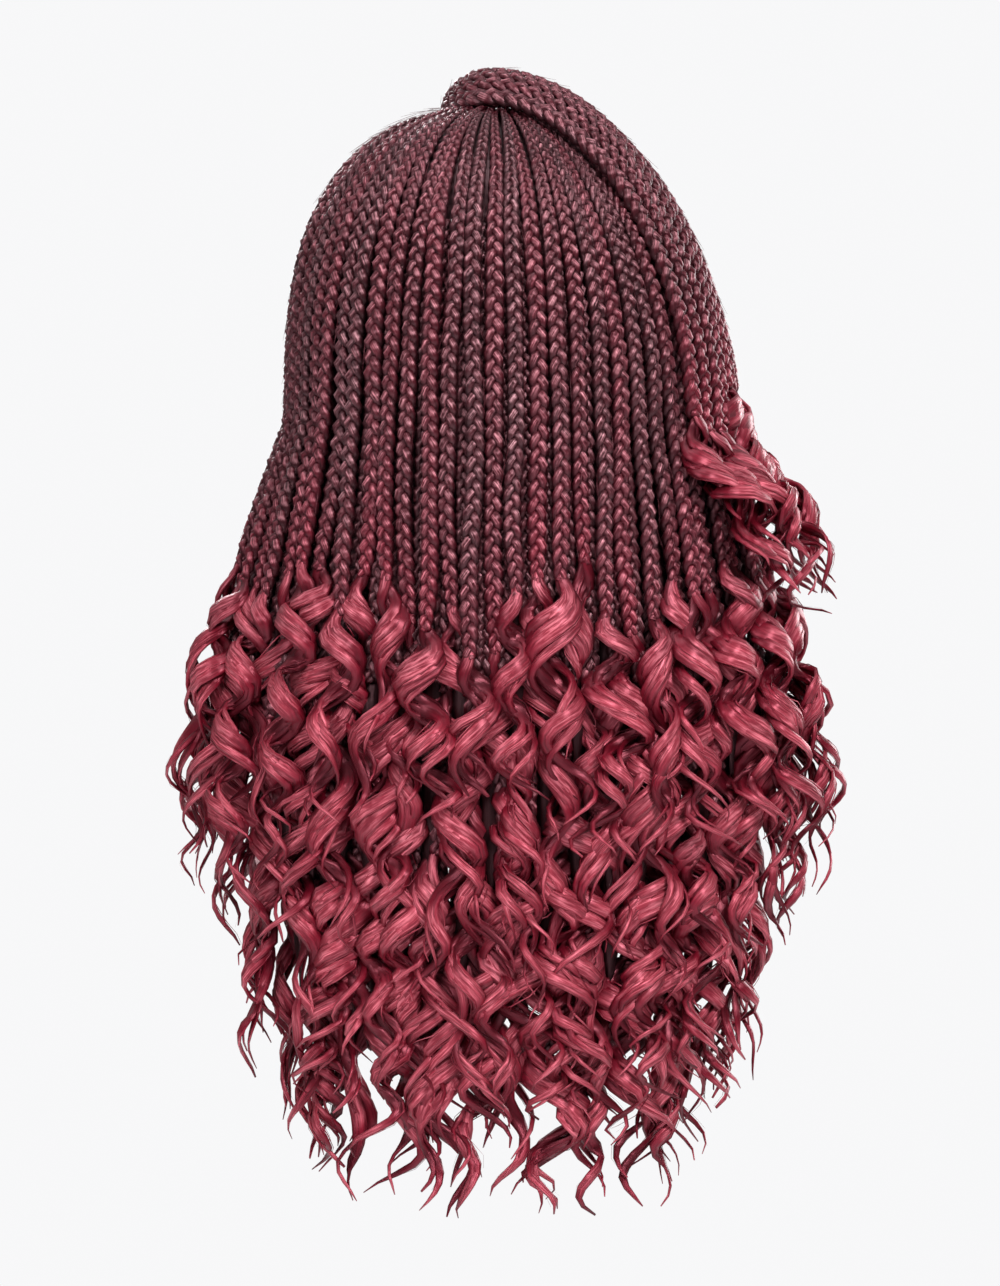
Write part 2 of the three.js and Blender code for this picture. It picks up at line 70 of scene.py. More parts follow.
def linear(hex_colour: str) -> tuple[float, float, float, float]:
    """Turn an sRGB hex colour into linear RGBA.

    Args:
        hex_colour: Six hex digits after a hash sign.

    Returns:
        Linear red, green and blue with an alpha of 1.
    """
    parts = [int(hex_colour[i : i + 2], 16) / 255 for i in (1, 3, 5)]
    low = [c / 12.92 if c <= 0.04045 else ((c + 0.055) / 1.055) ** 2.4 for c in parts]
    return (*low, 1.0)


def add_node(
    tree: bpy.types.NodeTree,
    kind: str,
    inputs: dict[str | int, object] | None = None,
    links: dict[str | int, Socket] | None = None,
    **settings: object,
) -> bpy.types.Node:
    """Add a node with its settings, input values and links.

    Args:
        tree: Node tree of the material.
        kind: Type name of the node.
        inputs: Values for inputs, by name or number.
        links: Output sockets that feed inputs, by name or number.
        **settings: Properties of the node.

    Returns:
        The new node.
    """
    node = tree.nodes.new(kind)
    for name, value in settings.items():
        setattr(node, name, value)
    for key, value in (inputs or {}).items():
        node.inputs[key].default_value = value
    for key, socket in (links or {}).items():
        tree.links.new(socket, node.inputs[key])
    return node


def new_material(name: str) -> tuple[bpy.types.Material, bpy.types.NodeTree]:
    """Make an empty node material.

    Args:
        name: Name of the finish.

    Returns:
        The material and its node tree.
    """
    material = bpy.data.materials.new(name)
    material.use_nodes = True
    material.node_tree.nodes.clear()
    return material, material.node_tree


@dataclass(frozen=True)
class BraidFibre:
    """Modacrylic braiding fibre: fine glossy filaments, dyed from dark root to red end.

    The filaments are too fine to show, so the streaks are drawn as wide as small wisps. Painted glints
    lighten the hair where it stands out, and painted shade darkens its depths.
    """

    name: str = "modacrylic_fibre_dyed"
    dye: tuple[str, str, str] = ("#3b1118", "#5a1723", "#7f1528")
    # The glint colours are painted highlights, from root to end.
    painted_glint: tuple[str, str, str] = ("#d39aa2", "#df8491", "#fb8f9d")
    gloss: tuple[str, str, str] = ("#f0b4be", "#f59aa9", "#ff8c9f")
    soot: str = "#17080b"
    streak_width: float = 0.62
    streak_length: float = 12.0
    wisp_width: float = 1.7
    wisp_length: float = 34.0
    blend_width: float = 3.6
    blend_length: float = 50.0
    roughness: float = 0.36
    calm: float = 0.34
    # Even levels of the painted glint and of the painted groove shade, where the fibre hangs loose.
    even_painted_glint: float = 0.3
    even_painted_groove_shade: float = 0.92

    def make(self) -> bpy.types.Material:
        """Build the material from the strand's own UV map, in mm, and its three attributes, one of which
        sets the painted shade and the painted glints.

        Returns:
            The material.
        """
        material, tree = new_material(self.name)
        tone, shade, painted_light = (
            add_node(tree, "ShaderNodeAttribute", attribute_name=label).outputs["Fac"]
            for label in ("tone", "shade", "painted_light")
        )
        uv = add_node(tree, "ShaderNodeUVMap", uv_map="fibre")
        parts = add_node(tree, "ShaderNodeSeparateXYZ", links={0: uv.outputs[0]})

        def streaks(width: float, length: float, seed: float, detail: float) -> Socket:
            """Noise drawn out into wisps of this width and length.

            Args:
                width: Width of a wisp in mm.
                length: Length of a wisp in mm.
                seed: How far the strands' own streaks lie apart.
                detail: Number of finer layers.

            Returns:
                The noise, from 0 to 1.
            """
            spans = []
            for socket, size in ((parts.outputs[0], width), (parts.outputs[1], length)):
                scaled = add_node(tree, "ShaderNodeMath", {1: 1 / size}, {0: socket}, operation="MULTIPLY")
                spans.append(scaled.outputs[0])
            drift = add_node(tree, "ShaderNodeMath", {1: seed}, {0: shade}, operation="MULTIPLY")
            place = add_node(
                tree, "ShaderNodeCombineXYZ", None, {0: spans[0], 1: spans[1], 2: drift.outputs[0]}
            )
            noise = add_node(
                tree,
                "ShaderNodeTexNoise",
                {"Scale": 1.0, "Detail": detail, "Roughness": 0.6},
                {"Vector": place.outputs[0]},
            )
            return noise.outputs[0]

        def ranged(value: Socket, low: float, high: float, start: float, stop: float) -> Socket:
            """Spread a value's range over another one."""
            inputs = {"From Min": low, "From Max": high, "To Min": start, "To Max": stop}
            return add_node(tree, "ShaderNodeMapRange", inputs, {"Value": value}).outputs[0]

        def product(first: Socket, second: Socket) -> Socket:
            """Multiply two values."""
            factors = {0: first, 1: second}
            return add_node(tree, "ShaderNodeMath", None, factors, operation="MULTIPLY").outputs[0]

        def dyed(colours: tuple[str, str, str]) -> Socket:
            """Colour along the fibre, from root to end.

            Args:
                colours: Colours at the root, the middle and the end.

            Returns:
                The colour.
            """
            ramp = add_node(tree, "ShaderNodeValToRGB", None, {0: tone})
            stops = ramp.color_ramp.elements
            stops[0].position, stops[0].color = 0.0, linear(colours[0])
            stops[1].position, stops[1].color = 1.0, linear(colours[2])
            stops.new(0.5).color = linear(colours[1])
            return ramp.outputs[0]

        loose = ranged(tone, 0.5, 1.0, 0.0, self.calm)

        def calmed(streaked: Socket, even: float) -> Socket:
            """Bring streaks closer to an even value where the fibre hangs loose and smooth."""
            mixed = add_node(tree, "ShaderNodeMix", {3: even}, {0: loose, 2: streaked}, data_type="FLOAT")
            return mixed.outputs[0]

        fine = streaks(self.streak_width, self.streak_length, 43.0, 3.0)
        wisps = streaks(self.wisp_width, self.wisp_length, 91.0, 2.0)
        blend = streaks(self.blend_width, self.blend_length, 17.0, 2.0)
        fade = add_node(tree, "ShaderNodeMath", {0: 1.0}, {1: tone}, operation="SUBTRACT").outputs[0]
        soot = product(ranged(blend, 0.48, 0.66, 0.0, 0.85), fade)
        dark = add_node(
            tree,
            "ShaderNodeMix",
            {7: linear(self.soot)},
            {0: soot, 6: dyed(self.dye)},
            data_type="RGBA",
        ).outputs[2]
        # Painted highlight: fine streaks mixed towards the glint colour where the strand's painted light is
        # high, on the plaits' lobes and the curls' outward bends.
        painted_glints = calmed(ranged(fine, 0.46, 0.68, 0.0, 0.9), self.even_painted_glint)
        painted_glint_share = product(painted_glints, ranged(painted_light, 0.64, 1.0, 0.0, 1.0))
        with_painted_glint = add_node(
            tree,
            "ShaderNodeMix",
            None,
            {0: painted_glint_share, 6: dark, 7: dyed(self.painted_glint)},
            data_type="RGBA",
        ).outputs[2]
        # Painted shade: darker where the strand's painted light is low, in the gaps between the plaits'
        # lobes and at the back of the curls' turns, and darker in the fine grooves between streaks. The
        # wisp noise adds a random tone.
        depth = product(ranged(painted_light, 0.0, 0.9, 0.15, 1.0), ranged(wisps, 0.3, 0.62, 0.5, 1.15))
        painted_shade = product(depth, calmed(ranged(fine, 0.3, 0.5, 0.5, 1.0), self.even_painted_groove_shade))
        with_painted_shade = add_node(
            tree,
            "ShaderNodeMix",
            {0: 1.0},
            {6: with_painted_glint, 7: painted_shade},
            data_type="RGBA",
            blend_type="MULTIPLY",
        ).outputs[2]
        relief = add_node(tree, "ShaderNodeMath", {1: 0.5}, {0: fine, 2: wisps}, operation="MULTIPLY_ADD")
        bump = add_node(
            tree, "ShaderNodeBump", {"Strength": 0.75, "Distance": 0.5 * MM}, {"Height": relief.outputs[0]}
        )
        tangent = add_node(tree, "ShaderNodeTangent", direction_type="UV_MAP", uv_map="fibre")
        surface = add_node(
            tree,
            "ShaderNodeBsdfPrincipled",
            {"Roughness": self.roughness, "IOR": 1.53, "Anisotropic": 0.8},
            {
                "Base Color": with_painted_shade,
                "Normal": bump.outputs[0],
                "Tangent": tangent.outputs[0],
                "Specular Tint": dyed(self.gloss),
            },
        )
        surface.inputs["Specular IOR Level"].default_value = 0.8
        add_node(tree, "ShaderNodeOutputMaterial", None, {0: surface.outputs[0]})
        return material


@dataclass(frozen=True)
class StretchKnit:
    """Matt black-burgundy nylon knit: rows of small loops 1.6 mm apart, which soften the light, with
    painted shade in the hollows between them.
    """

    name: str = "nylon_stretch_knit"
    yarn: str = "#2a1318"
    hollow_shade: str = "#0b0506"
    loop: float = 1.6

    def make(self) -> bpy.types.Material:
        """Build the material on Object coordinates.

        Returns:
            The material.
        """
        material, tree = new_material(self.name)
        place = add_node(tree, "ShaderNodeTexCoord").outputs["Object"]
        loops = add_node(
            tree,
            "ShaderNodeTexVoronoi",
            {"Scale": 1 / (self.loop * MM), "Randomness": 0.25},
            {"Vector": place},
        )
        # Painted shade: the hollows between the loops are mixed towards a darker colour.
        colour = add_node(
            tree,
            "ShaderNodeMix",
            {6: linear(self.yarn), 7: linear(self.hollow_shade)},
            {0: loops.outputs["Distance"]},
            data_type="RGBA",
        )
        bump = add_node(
            tree,
            "ShaderNodeBump",
            {"Strength": 0.8, "Distance": 0.4 * MM},
            {"Height": loops.outputs["Distance"]},
            invert=True,
        )
        surface = add_node(
            tree,
            "ShaderNodeBsdfPrincipled",
            {"Roughness": 0.85, "Sheen Weight": 0.3},
            {"Base Color": colour.outputs[2], "Normal": bump.outputs[0]},
        )
        add_node(tree, "ShaderNodeOutputMaterial", None, {0: surface.outputs[0]})
        return material


@dataclass(frozen=True)
class CoveredElastic:
    """Elastic covered with braided polyester thread: satin, with fine slanting threads, each with a painted
    sheen.
    """

    name: str = "polyester_covered_elastic"
    thread: str = "#1d0f12"
    gloss: str = "#4a2a31"
    pitch: float = 0.9

    def make(self) -> bpy.types.Material:
        """Build the material on Object coordinates.

        Returns:
            The material.
        """
        material, tree = new_material(self.name)
        place = add_node(tree, "ShaderNodeTexCoord").outputs["Object"]
        threads = add_node(
            tree,
            "ShaderNodeTexWave",
            {"Scale": 0.314 / (self.pitch * MM), "Distortion": 1.5, "Detail": 1.0},
            {"Vector": place},
            bands_direction="DIAGONAL",
        )
        # Painted sheen: the wave bands mix each thread towards the lighter gloss colour.
        colour = add_node(
            tree,
            "ShaderNodeMix",
            {6: linear(self.thread), 7: linear(self.gloss)},
            {0: threads.outputs["Fac"]},
            data_type="RGBA",
        )
        bump = add_node(
            tree,
            "ShaderNodeBump",
            {"Strength": 0.6, "Distance": 0.2 * MM},
            {"Height": threads.outputs["Fac"]},
        )
        surface = add_node(
            tree,
            "ShaderNodeBsdfPrincipled",
            {"Roughness": 0.45, "Sheen Weight": 0.2},
            {"Base Color": colour.outputs[2], "Normal": bump.outputs[0]},
        )
        add_node(tree, "ShaderNodeOutputMaterial", None, {0: surface.outputs[0]})
        return material


@dataclass(frozen=True)
class StudioPaper:
    """Seamless matt paper, lit to an even white where the camera sees it."""

    name: str = "studio_paper"
    colour: str = "#f4f4f5"
    glow: float = 0.96

    def make(self) -> bpy.types.Material:
        """Build the material.

        Returns:
            The material.
        """
        material, tree = new_material(self.name)
        surface = add_node(tree, "ShaderNodeBsdfPrincipled", {"Roughness": 0.95})
        surface.inputs["Base Color"].default_value = linear(self.colour)
        surface.inputs["Specular IOR Level"].default_value = 0.1
        glow = add_node(tree, "ShaderNodeEmission", {"Color": linear(STUDIO_WHITE), "Strength": self.glow})
        seen = add_node(tree, "ShaderNodeLightPath").outputs["Is Camera Ray"]
        shaders = {0: seen, 1: surface.outputs[0], 2: glow.outputs[0]}
        paper = add_node(tree, "ShaderNodeMixShader", None, shaders)
        add_node(tree, "ShaderNodeOutputMaterial", None, {0: paper.outputs[0]})
        return material


# Lines and frames

def unit(vectors: Array) -> Array:
    """Scale each vector to a length of 1."""
    return vectors / np.maximum(np.linalg.norm(vectors, axis=-1, keepdims=True), 1e-9)


def smooth(share: Array | float) -> Array | float:
    """Ease from 0 to 1 as the share goes from 0 to 1."""
    held = np.clip(share, 0.0, 1.0)
    return held * held * (3 - 2 * held)


def along_line(points: Array) -> Array:
    """Length along a line of points, up to each of them."""
    steps = np.linalg.norm(np.diff(points, axis=0), axis=1)
    return np.concatenate([[0.0], np.cumsum(steps)])


def sampled(values: Array, at: Array, where: Array) -> Array:
    """Read vectors that are known at some lengths at other lengths.

    Args:
        values: Vectors, one a row.
        at: Length of each row.
        where: Lengths that are asked for.

    Returns:
        One vector for each length asked for.
    """
    return np.stack([np.interp(where, at, values[:, axis]) for axis in range(3)], axis=-1)


def wander(along: Array, size: float, wave: float, rng: np.random.Generator) -> Array:
    """A slow, smooth drift along a line.

    Args:
        along: Length along the line at each point.
        size: Largest drift.
        wave: Length of the longest wave.
        rng: Source of the phases.

    Returns:
        The drift at each point.
    """
    total = np.zeros_like(along)
    for share, cut in ((0.6, 1.0), (0.3, 0.53), (0.15, 0.29)):
        phase = rng.uniform(0, FULL_TURN)
        total += share * np.sin(FULL_TURN * along / (wave * cut) + phase)
    return size * total


@dataclass
class Route:
    """The middle line of a braid, with the directions across it and away from the cap."""

    points: Array
    side: Array
    out: Array
    along: Array

    @classmethod
    def from_lines(cls, line: Array, before: Array, after: Array) -> "Route":
        """Make a route from a line and the lines just beside it.

        Args:
            line: Points of the middle line.
            before: The same points on the line beside it.
            after: The same points on the line at the other side.

        Returns:
            The route with its frames.
        """
        along = along_line(line)
        tangent = unit(np.gradient(line, along, axis=0))
        side = after - before
        side = unit(side - (side * tangent).sum(1, keepdims=True) * tangent)
        return cls(line, side, np.cross(side, tangent), along)

    def at(self, where: Array) -> "Route":
        """The same route with its frames at other lengths along it.

        Args:
            where: Lengths along the route.

        Returns:
            The route with a point at each of them.
        """
        side = unit(sampled(self.side, self.along, where))
        out = unit(sampled(self.out, self.along, where))
        return Route(sampled(self.points, self.along, where), side, out, where)

    def moved(self, sideways: Array | float, outwards: Array | float) -> "Route":
        """The same route, moved across and out by a distance at each point.

        Args:
            sideways: Distance across, at each point.
            outwards: Distance out, at each point.

        Returns:
            The moved route.
        """
        shift = np.zeros(len(self.along))
        points = self.points + (shift + sideways)[:, None] * self.side
        points = points + (shift + outwards)[:, None] * self.out
        return Route(points, self.side, self.out, self.along)

    def stretch(self, first: float, last: float) -> "Route":
        """The part of the route between two lengths along it."""
        kept = (self.along >= first) & (self.along <= last)
        return Route(self.points[kept], self.side[kept], self.out[kept], self.along[kept])

    def where_height(self, z: float) -> float:
        """Length along the route at which it last passes a height."""
        above = np.nonzero(self.points[:, 2] >= z)[0]
        return float(self.along[above[-1]]) if len(above) else 0.0


class Tress:
    """Collects the strands of one piece and makes one mesh of them."""

    def __init__(self) -> None:
        """Start with no strands."""
        self.points: list[Array] = []
        self.tones: list[Array] = []
        self.shades: list[Array] = []
        self.painted_lights: list[Array] = []
        self.quads: list[Array] = []
        self.quad_uvs: list[Array] = []
        self.ends: list[Array] = []
        self.count = 0

    def add_strand(
        self,
        line: Array,
        normal: Array,
        half_width: Array | float,
        half_thickness: Array | float,
        sides: int,
        tone: Array | float,
        shade: float,
        painted_light: Array | float = 0.8,
        cap_side_shade: float = 0.25,
        inner_painted_light: Array | float = 0.0,
    ) -> None:
        """Add one closed strand with an oval section.

        Args:
            line: Middle line of the strand.
            normal: Direction of its thin side at each point.
            half_width: Half the width at each point.
            half_thickness: Half the thickness at each point.
            sides: Corners of the section.
            tone: How far along the dye is, from 0 at the root to 1 at the end.
            shade: Number that sets this strand's own streaks, from 0 to 1.
            painted_light: Painted light at each point, from 0, full painted shade in the depth of the hair,
                to 1, painted glint where it stands out.
            cap_side_shade: Share of the painted light that the side towards the cap loses, as painted
                shade.
            inner_painted_light: Painted light on the side towards the cap, where the strand stands out that
                way.
        """
        stations = len(line)
        if stations < 2:
            return
        along = along_line(line)
        tangent = unit(np.gradient(line, np.maximum(along, np.arange(stations) * 1e-6), axis=0))
        normal = unit(normal - (normal * tangent).sum(1, keepdims=True) * tangent)
        across = np.cross(normal, tangent)
        width = np.broadcast_to(np.asarray(half_width, float), (stations,))
        thick = np.broadcast_to(np.asarray(half_thickness, float), (stations,))
        turn = np.arange(sides) * FULL_TURN / sides
        ring = line[:, None, :] + (width[:, None] * np.cos(turn))[..., None] * across[:, None, :]
        ring = ring + (thick[:, None] * np.sin(turn))[..., None] * normal[:, None, :]
        station, corner = np.meshgrid(np.arange(stations - 1), np.arange(sides), indexing="ij")
        following = (corner + 1) % sides
        first = self.count + station * sides
        quads = np.stack(
            [first + corner, first + following, first + sides + following, first + sides + corner], -1
        )
        girth = math.pi * float(width.mean() + thick.mean())
        u = np.stack([corner, corner + 1, corner + 1, corner], -1) * girth / sides
        v = along[np.stack([station, station, station + 1, station + 1], -1)]
        # Painted light at each corner: the side towards the cap gets painted shade, and the inner face gets
        # its own painted light.
        cap_side_light = 1 - cap_side_shade * (0.5 - 0.5 * np.sin(turn))
        outer_painted_light = np.broadcast_to(np.asarray(painted_light, float), (stations,))
        inside = np.broadcast_to(np.asarray(inner_painted_light, float), (stations,))
        shown = outer_painted_light[:, None] * cap_side_light + inside[:, None] * np.maximum(0, -np.sin(turn))
        self.points.append(ring.reshape(-1, 3))
        self.tones.append(np.repeat(np.broadcast_to(np.asarray(tone, float), (stations,)), sides))
        self.shades.append(np.full(stations * sides, shade))
        self.painted_lights.append(shown.ravel())
        self.quads.append(quads.reshape(-1, 4))
        self.quad_uvs.append(np.stack([u, v], -1).reshape(-1, 2))
        self.ends.append(self.count + np.arange(sides)[::-1])
        self.ends.append(self.count + (stations - 1) * sides + np.arange(sides))
        self.count += stations * sides

    def triangles(self) -> int:
        """Number of triangles collected so far."""
        return 2 * sum(map(len, self.quads)) + sum(len(end) - 2 for end in self.ends)

    def make(self, name: str, material: bpy.types.Material) -> bpy.types.Object:
        """Make the mesh object.

        Args:
            name: Name of the piece.
            material: Its finish.

        Returns:
            The object, at the origin.
        """
        quads = np.concatenate(self.quads)
        loops = np.concatenate([quads.ravel(), *self.ends])
        totals = np.concatenate([np.full(len(quads), 4), [len(end) for end in self.ends]])
        starts = np.concatenate([[0], np.cumsum(totals)[:-1]])
        mesh = bpy.data.meshes.new(name)
        mesh.vertices.add(self.count)
        mesh.vertices.foreach_set("co", (np.concatenate(self.points) * MM).astype(np.float32).ravel())
        mesh.loops.add(len(loops))
        mesh.loops.foreach_set("vertex_index", loops.astype(np.int32))
        mesh.polygons.add(len(starts))
        mesh.polygons.foreach_set("loop_start", starts.astype(np.int32))
        mesh.update(calc_edges=True)
        mesh.shade_smooth()
        layer = mesh.uv_layers.new(name="fibre")
        uvs = np.zeros((len(loops), 2), np.float32)
        uvs[: quads.size] = np.concatenate(self.quad_uvs)
        layer.data.foreach_set("uv", uvs.ravel())
        for label, values in (("tone", self.tones), ("shade", self.shades), ("painted_light", self.painted_lights)):
            attribute = mesh.attributes.new(label, "FLOAT", "POINT")
            attribute.data.foreach_set("value", np.concatenate(values).astype(np.float32))
        mesh.validate()
        mesh.materials.append(material)
        thing = bpy.data.objects.new(name, mesh)
        bpy.context.scene.collection.objects.link(thing)
        return thing


# Braid and curl patterns

class Lay(Enum):
    """How a braid is drawn: plaited where it shows, or as one plain lock where it is covered."""

    PLAITED = "plaited"
    COVERED = "covered"


@dataclass(frozen=True)
class Plait:
    """A three-strand plait. Its sizes hold for a full braid and shrink with the width."""

    width: float = 11.6
    turn: float = 25.2
    swing: float = 0.25
    depth: float = 0.17
    strand_width: float = 0.45
    strand_thickness: float = 0.37
    stations: int = 9
    sides: int = 7
    tilt: float = 0.6
    narrow_turn: float = 0.4
    plumpness: float = 0.06
    dye_spread: float = 0.05
    # How a strand's height in the plait turns into painted light: painted glint on the lobes that stand
    # out, painted shade in the gaps.
    painted_light_bias: float = 0.55
    painted_light_span: float = 1.35
    covered_step: float = 9.0
    covered_taper: float = 30.0
    covered_half: float = 0.52
    covered_flatness: float = 0.62

    def weave(
        self,
        tress: Tress,
        route: Route,
        width: Array | float,
        tone: Array | float,
        rng: np.random.Generator,
        thin: float = 1.0,
    ) -> None:
        """Add the three strands of a braid.

        Args:
            tress: Where the strands go.
            route: Middle line of the braid.
            width: Width of the braid at each point of the route.
            tone: How far along the dye is at each point of the route.
            rng: Source of the phase and the shades.
            thin: Share of the strands' thickness that is kept.
        """
        width = np.broadcast_to(np.asarray(width, float), route.along.shape)
        tone = np.broadcast_to(np.asarray(tone, float), route.along.shape)
        turn = self.turn * (self.narrow_turn + (1 - self.narrow_turn) * width / self.width)
        steps = np.diff(route.along) / ((turn[1:] + turn[:-1]) / 2)
        turned = np.concatenate([[0.0], np.cumsum(steps)])
        count = max(3, int(turned[-1] * self.stations) + 1)
        where = np.interp(np.linspace(0, turned[-1], count), turned, route.along)
        here = route.at(where)
        full = np.interp(where, route.along, width)
        dye = np.interp(where, route.along, tone)
        phase = FULL_TURN * np.interp(where, route.along, turned) + rng.uniform(0, FULL_TURN)
        for strand in range(3):
            angle = phase + strand * FULL_TURN / 3
            height = np.sin(2 * angle)
            sideways = self.swing * full * np.sin(angle)
            outwards = self.depth * full * height
            line = here.points + sideways[:, None] * here.side + outwards[:, None] * here.out
            lean = self.tilt * np.sin(angle)
            normal = here.out + lean[:, None] * here.side
            plump = 1 + self.plumpness * rng.standard_normal()
            tress.add_strand(
                line,
                normal,
                self.strand_width / 2 * full * plump,
                self.strand_thickness / 2 * full * thin * plump,
                self.sides,
                dye + rng.uniform(-self.dye_spread, self.dye_spread),
                rng.uniform(),
                # Painted glint on the lobes that stand out on either face, painted shade in the gaps
                # between them.
                smooth((height + self.painted_light_bias) / self.painted_light_span),
                cap_side_shade=1.0,
                inner_painted_light=smooth((self.painted_light_bias - height) / self.painted_light_span),
            )

    def lay_covered(self, tress: Tress, route: Route, tone: float, rng: np.random.Generator) -> None:
        """Add a braid as one plain lock, in full painted shade, for a stretch that other braids cover.

        Args:
            tress: Where the lock goes.
            route: Middle line of the braid.
            tone: How far along the dye is.
            rng: Source of the shade.
        """
        count = max(3, int(np.ptp(route.along) / self.covered_step))
        where = np.linspace(route.along[0], route.along[-1], count)
        here = route.at(where)
        half = self.covered_half * self.width * np.clip((where[-1] - where) / self.covered_taper, 0.2, 1)
        thick = self.covered_flatness * half
        # No painted light on a covered lock: it is all painted shade.
        tress.add_strand(here.points, here.out, half, thick, 6, tone, rng.uniform(), painted_light=0.0)


@dataclass(frozen=True)
class Winding:
    """Which way one curl turns and where its turn starts, with its pitch and radius."""

    hand: float
    phase: float
    pitch: float
    radius: float


@dataclass(frozen=True)
class Ribbon:
    """One lock of a curl: its line and frames, its half sizes, its dye, and its painted light."""

    along: Array
    line: Array
    normal: Array
    across: Array
    half: Array
    thick: Array
    tone: Array
    painted_light: Array


@dataclass(frozen=True)
class Curl:
    """A loose end: flat ribbons of fibre wound round the line on which the braid would hang."""

    radius: float = 10.5
    radius_range: tuple[float, float] = (0.65, 1.35)
    pitch: float = 46.0
    pitch_range: tuple[float, float] = (0.72, 1.32)
    onset: float = 28.0
    drift: tuple[float, float] = (12.0, 5.0)
    drift_onset: float = 80.0
    drift_wave: float = 190.0
    parting: float = 5.5
    parting_wave: float = 130.0
    turn_drift: tuple[float, float] = (0.55, 140.0)
    reach_drift: tuple[float, float] = (0.22, 110.0)
    tip_closing: float = 0.2
    ribbon: float = 6.6
    ribbon_thickness: float = 1.9
    tip_half: float = 0.25
    station: float = 4.4
    sides: int = 7
    depth: float = 0.6
    twist: float = 0.42
    lengths: tuple[float, ...] = (1.0, 0.95, 0.87, 0.74)
    reaches: tuple[float, ...] = (1.0, 0.86, 1.14, 0.7)
    widths: tuple[float, ...] = (1.0, 0.8, 0.62, 0.52)
    leads: tuple[float, ...] = (0.0, 0.42, -0.5, 1.1)
    wisps: tuple[int, ...] = (6, 4, 3, 1)
    wisp: float = 0.42
    wisp_start: float = 0.45
    wisp_stop: float = 0.2
    wisp_wave: float = 60.0
    wisp_flight: float = 5.0
    overlap: float = 9.0
    loose_tone: float = 0.72
    tone_run: float = 200.0
    # Painted light along a ribbon, as base and swing: painted shade at the back of each turn, painted glint
    # at its outward bend.
    painted_light: tuple[float, float] = (0.56, 0.44)

    def wind(self, tress: Tress, route: Route, rng: np.random.Generator, width: float) -> None:
        """Add one curl along a route.

        Args:
            tress: Where the ribbons go.
            route: The line down the middle of the curl, from the end of the braid.
            rng: Source of the phases and drifts.
            width: Half the width of the braid that opens into the curl.
        """
        length = route.along[-1] - route.along[0]
        winding = Winding(
            hand=rng.choice([-1.0, 1.0]),
            phase=rng.uniform(0, FULL_TURN),
            pitch=self.pitch * rng.uniform(*self.pitch_range),
            radius=self.radius * rng.uniform(*self.radius_range),
        )
        loose = smooth((route.along - route.along[0]) / self.drift_onset)
        aside, outwards = (wander(route.along, size, self.drift_wave, rng) * loose for size in self.drift)
        trunk = route.moved(aside, outwards)
        for lock, share in enumerate(self.lengths):
            reach = share * rng.uniform(0.92, 1.0) * length
            ribbon = self.shape_ribbon(trunk, reach, lock, winding, width, rng)
            tress.add_strand(
                ribbon.line,
                ribbon.normal,
                ribbon.half,
                ribbon.thick,
                self.sides,
                ribbon.tone,
                rng.uniform(),
                ribbon.painted_light,
            )
            self.add_wisps(tress, ribbon, self.wisps[lock], rng)

    def shape_ribbon(
        self,
        trunk: Route,
        length: float,
        lock: int,
        winding: Winding,
        width: float,
        rng: np.random.Generator,
    ) -> Ribbon:
        """Work out one ribbon of a curl.

        Args:
            trunk: Middle line of the curl.
            length: How far the ribbon goes along it.
            lock: Number of the ribbon in the curl.
            winding: How the curl turns.
            width: Half the width of the braid that opens into the curl.
            rng: Source of the ribbon's own drifts.

        Returns:
            The ribbon, tapered to its tip.
        """
        where = np.arange(0, length, self.station)
        here = trunk.at(where + trunk.along[0])
        opening = smooth(where / self.onset)
        apart = smooth((where - 0.25 * length) / (0.6 * length))
        aside, outwards = (
            wander(where, self.parting, self.parting_wave, rng) * apart for _ in range(2)
        )
        turn = winding.pitch * rng.uniform(0.92, 1.08)
        angle = winding.hand * (FULL_TURN * where / turn + winding.phase)
        angle = angle + self.leads[lock] + rng.normal(0, 0.15)
        angle = angle + wander(where, *self.turn_drift, rng)
        reach = winding.radius * self.reaches[lock] * opening
        reach = reach * (1 + wander(where, *self.reach_drift, rng))
        reach = reach * (1 - self.tip_closing * where / length)
        radial = np.cos(angle)[:, None] * here.side + self.depth * np.sin(angle)[:, None] * here.out
        line = here.points + reach[:, None] * radial
        line = line + aside[:, None] * here.side + outwards[:, None] * here.out
        tangent = unit(np.gradient(line, where, axis=0))
        twist = self.twist * opening[:, None]
        normal = unit((1 - twist) * here.out + twist * radial)
        normal = unit(normal - (normal * tangent).sum(1, keepdims=True) * tangent)
        full = self.ribbon * self.widths[lock] * rng.uniform(0.88, 1.1)
        closed = width * 0.5
        taper = np.clip(1 - (where / length) ** 2.2, 0.0, 1.0) ** 0.85
        plump = 0.7 + 0.3 * self.widths[lock]
        return Ribbon(
            along=where,
            line=line,
            normal=normal,
            across=np.cross(normal, tangent),
            half=np.maximum((closed + (full - closed) * opening) * taper, self.tip_half),
            thick=np.maximum(self.ribbon_thickness * plump * taper ** 0.7, 0.8 * self.tip_half),
            tone=np.clip(self.loose_tone + where / self.tone_run, 0, 1),
            # Painted shade at the back of each turn, painted glint at its outward bend.
            painted_light=self.painted_light[0] + self.painted_light[1] * np.sin(angle),
        )

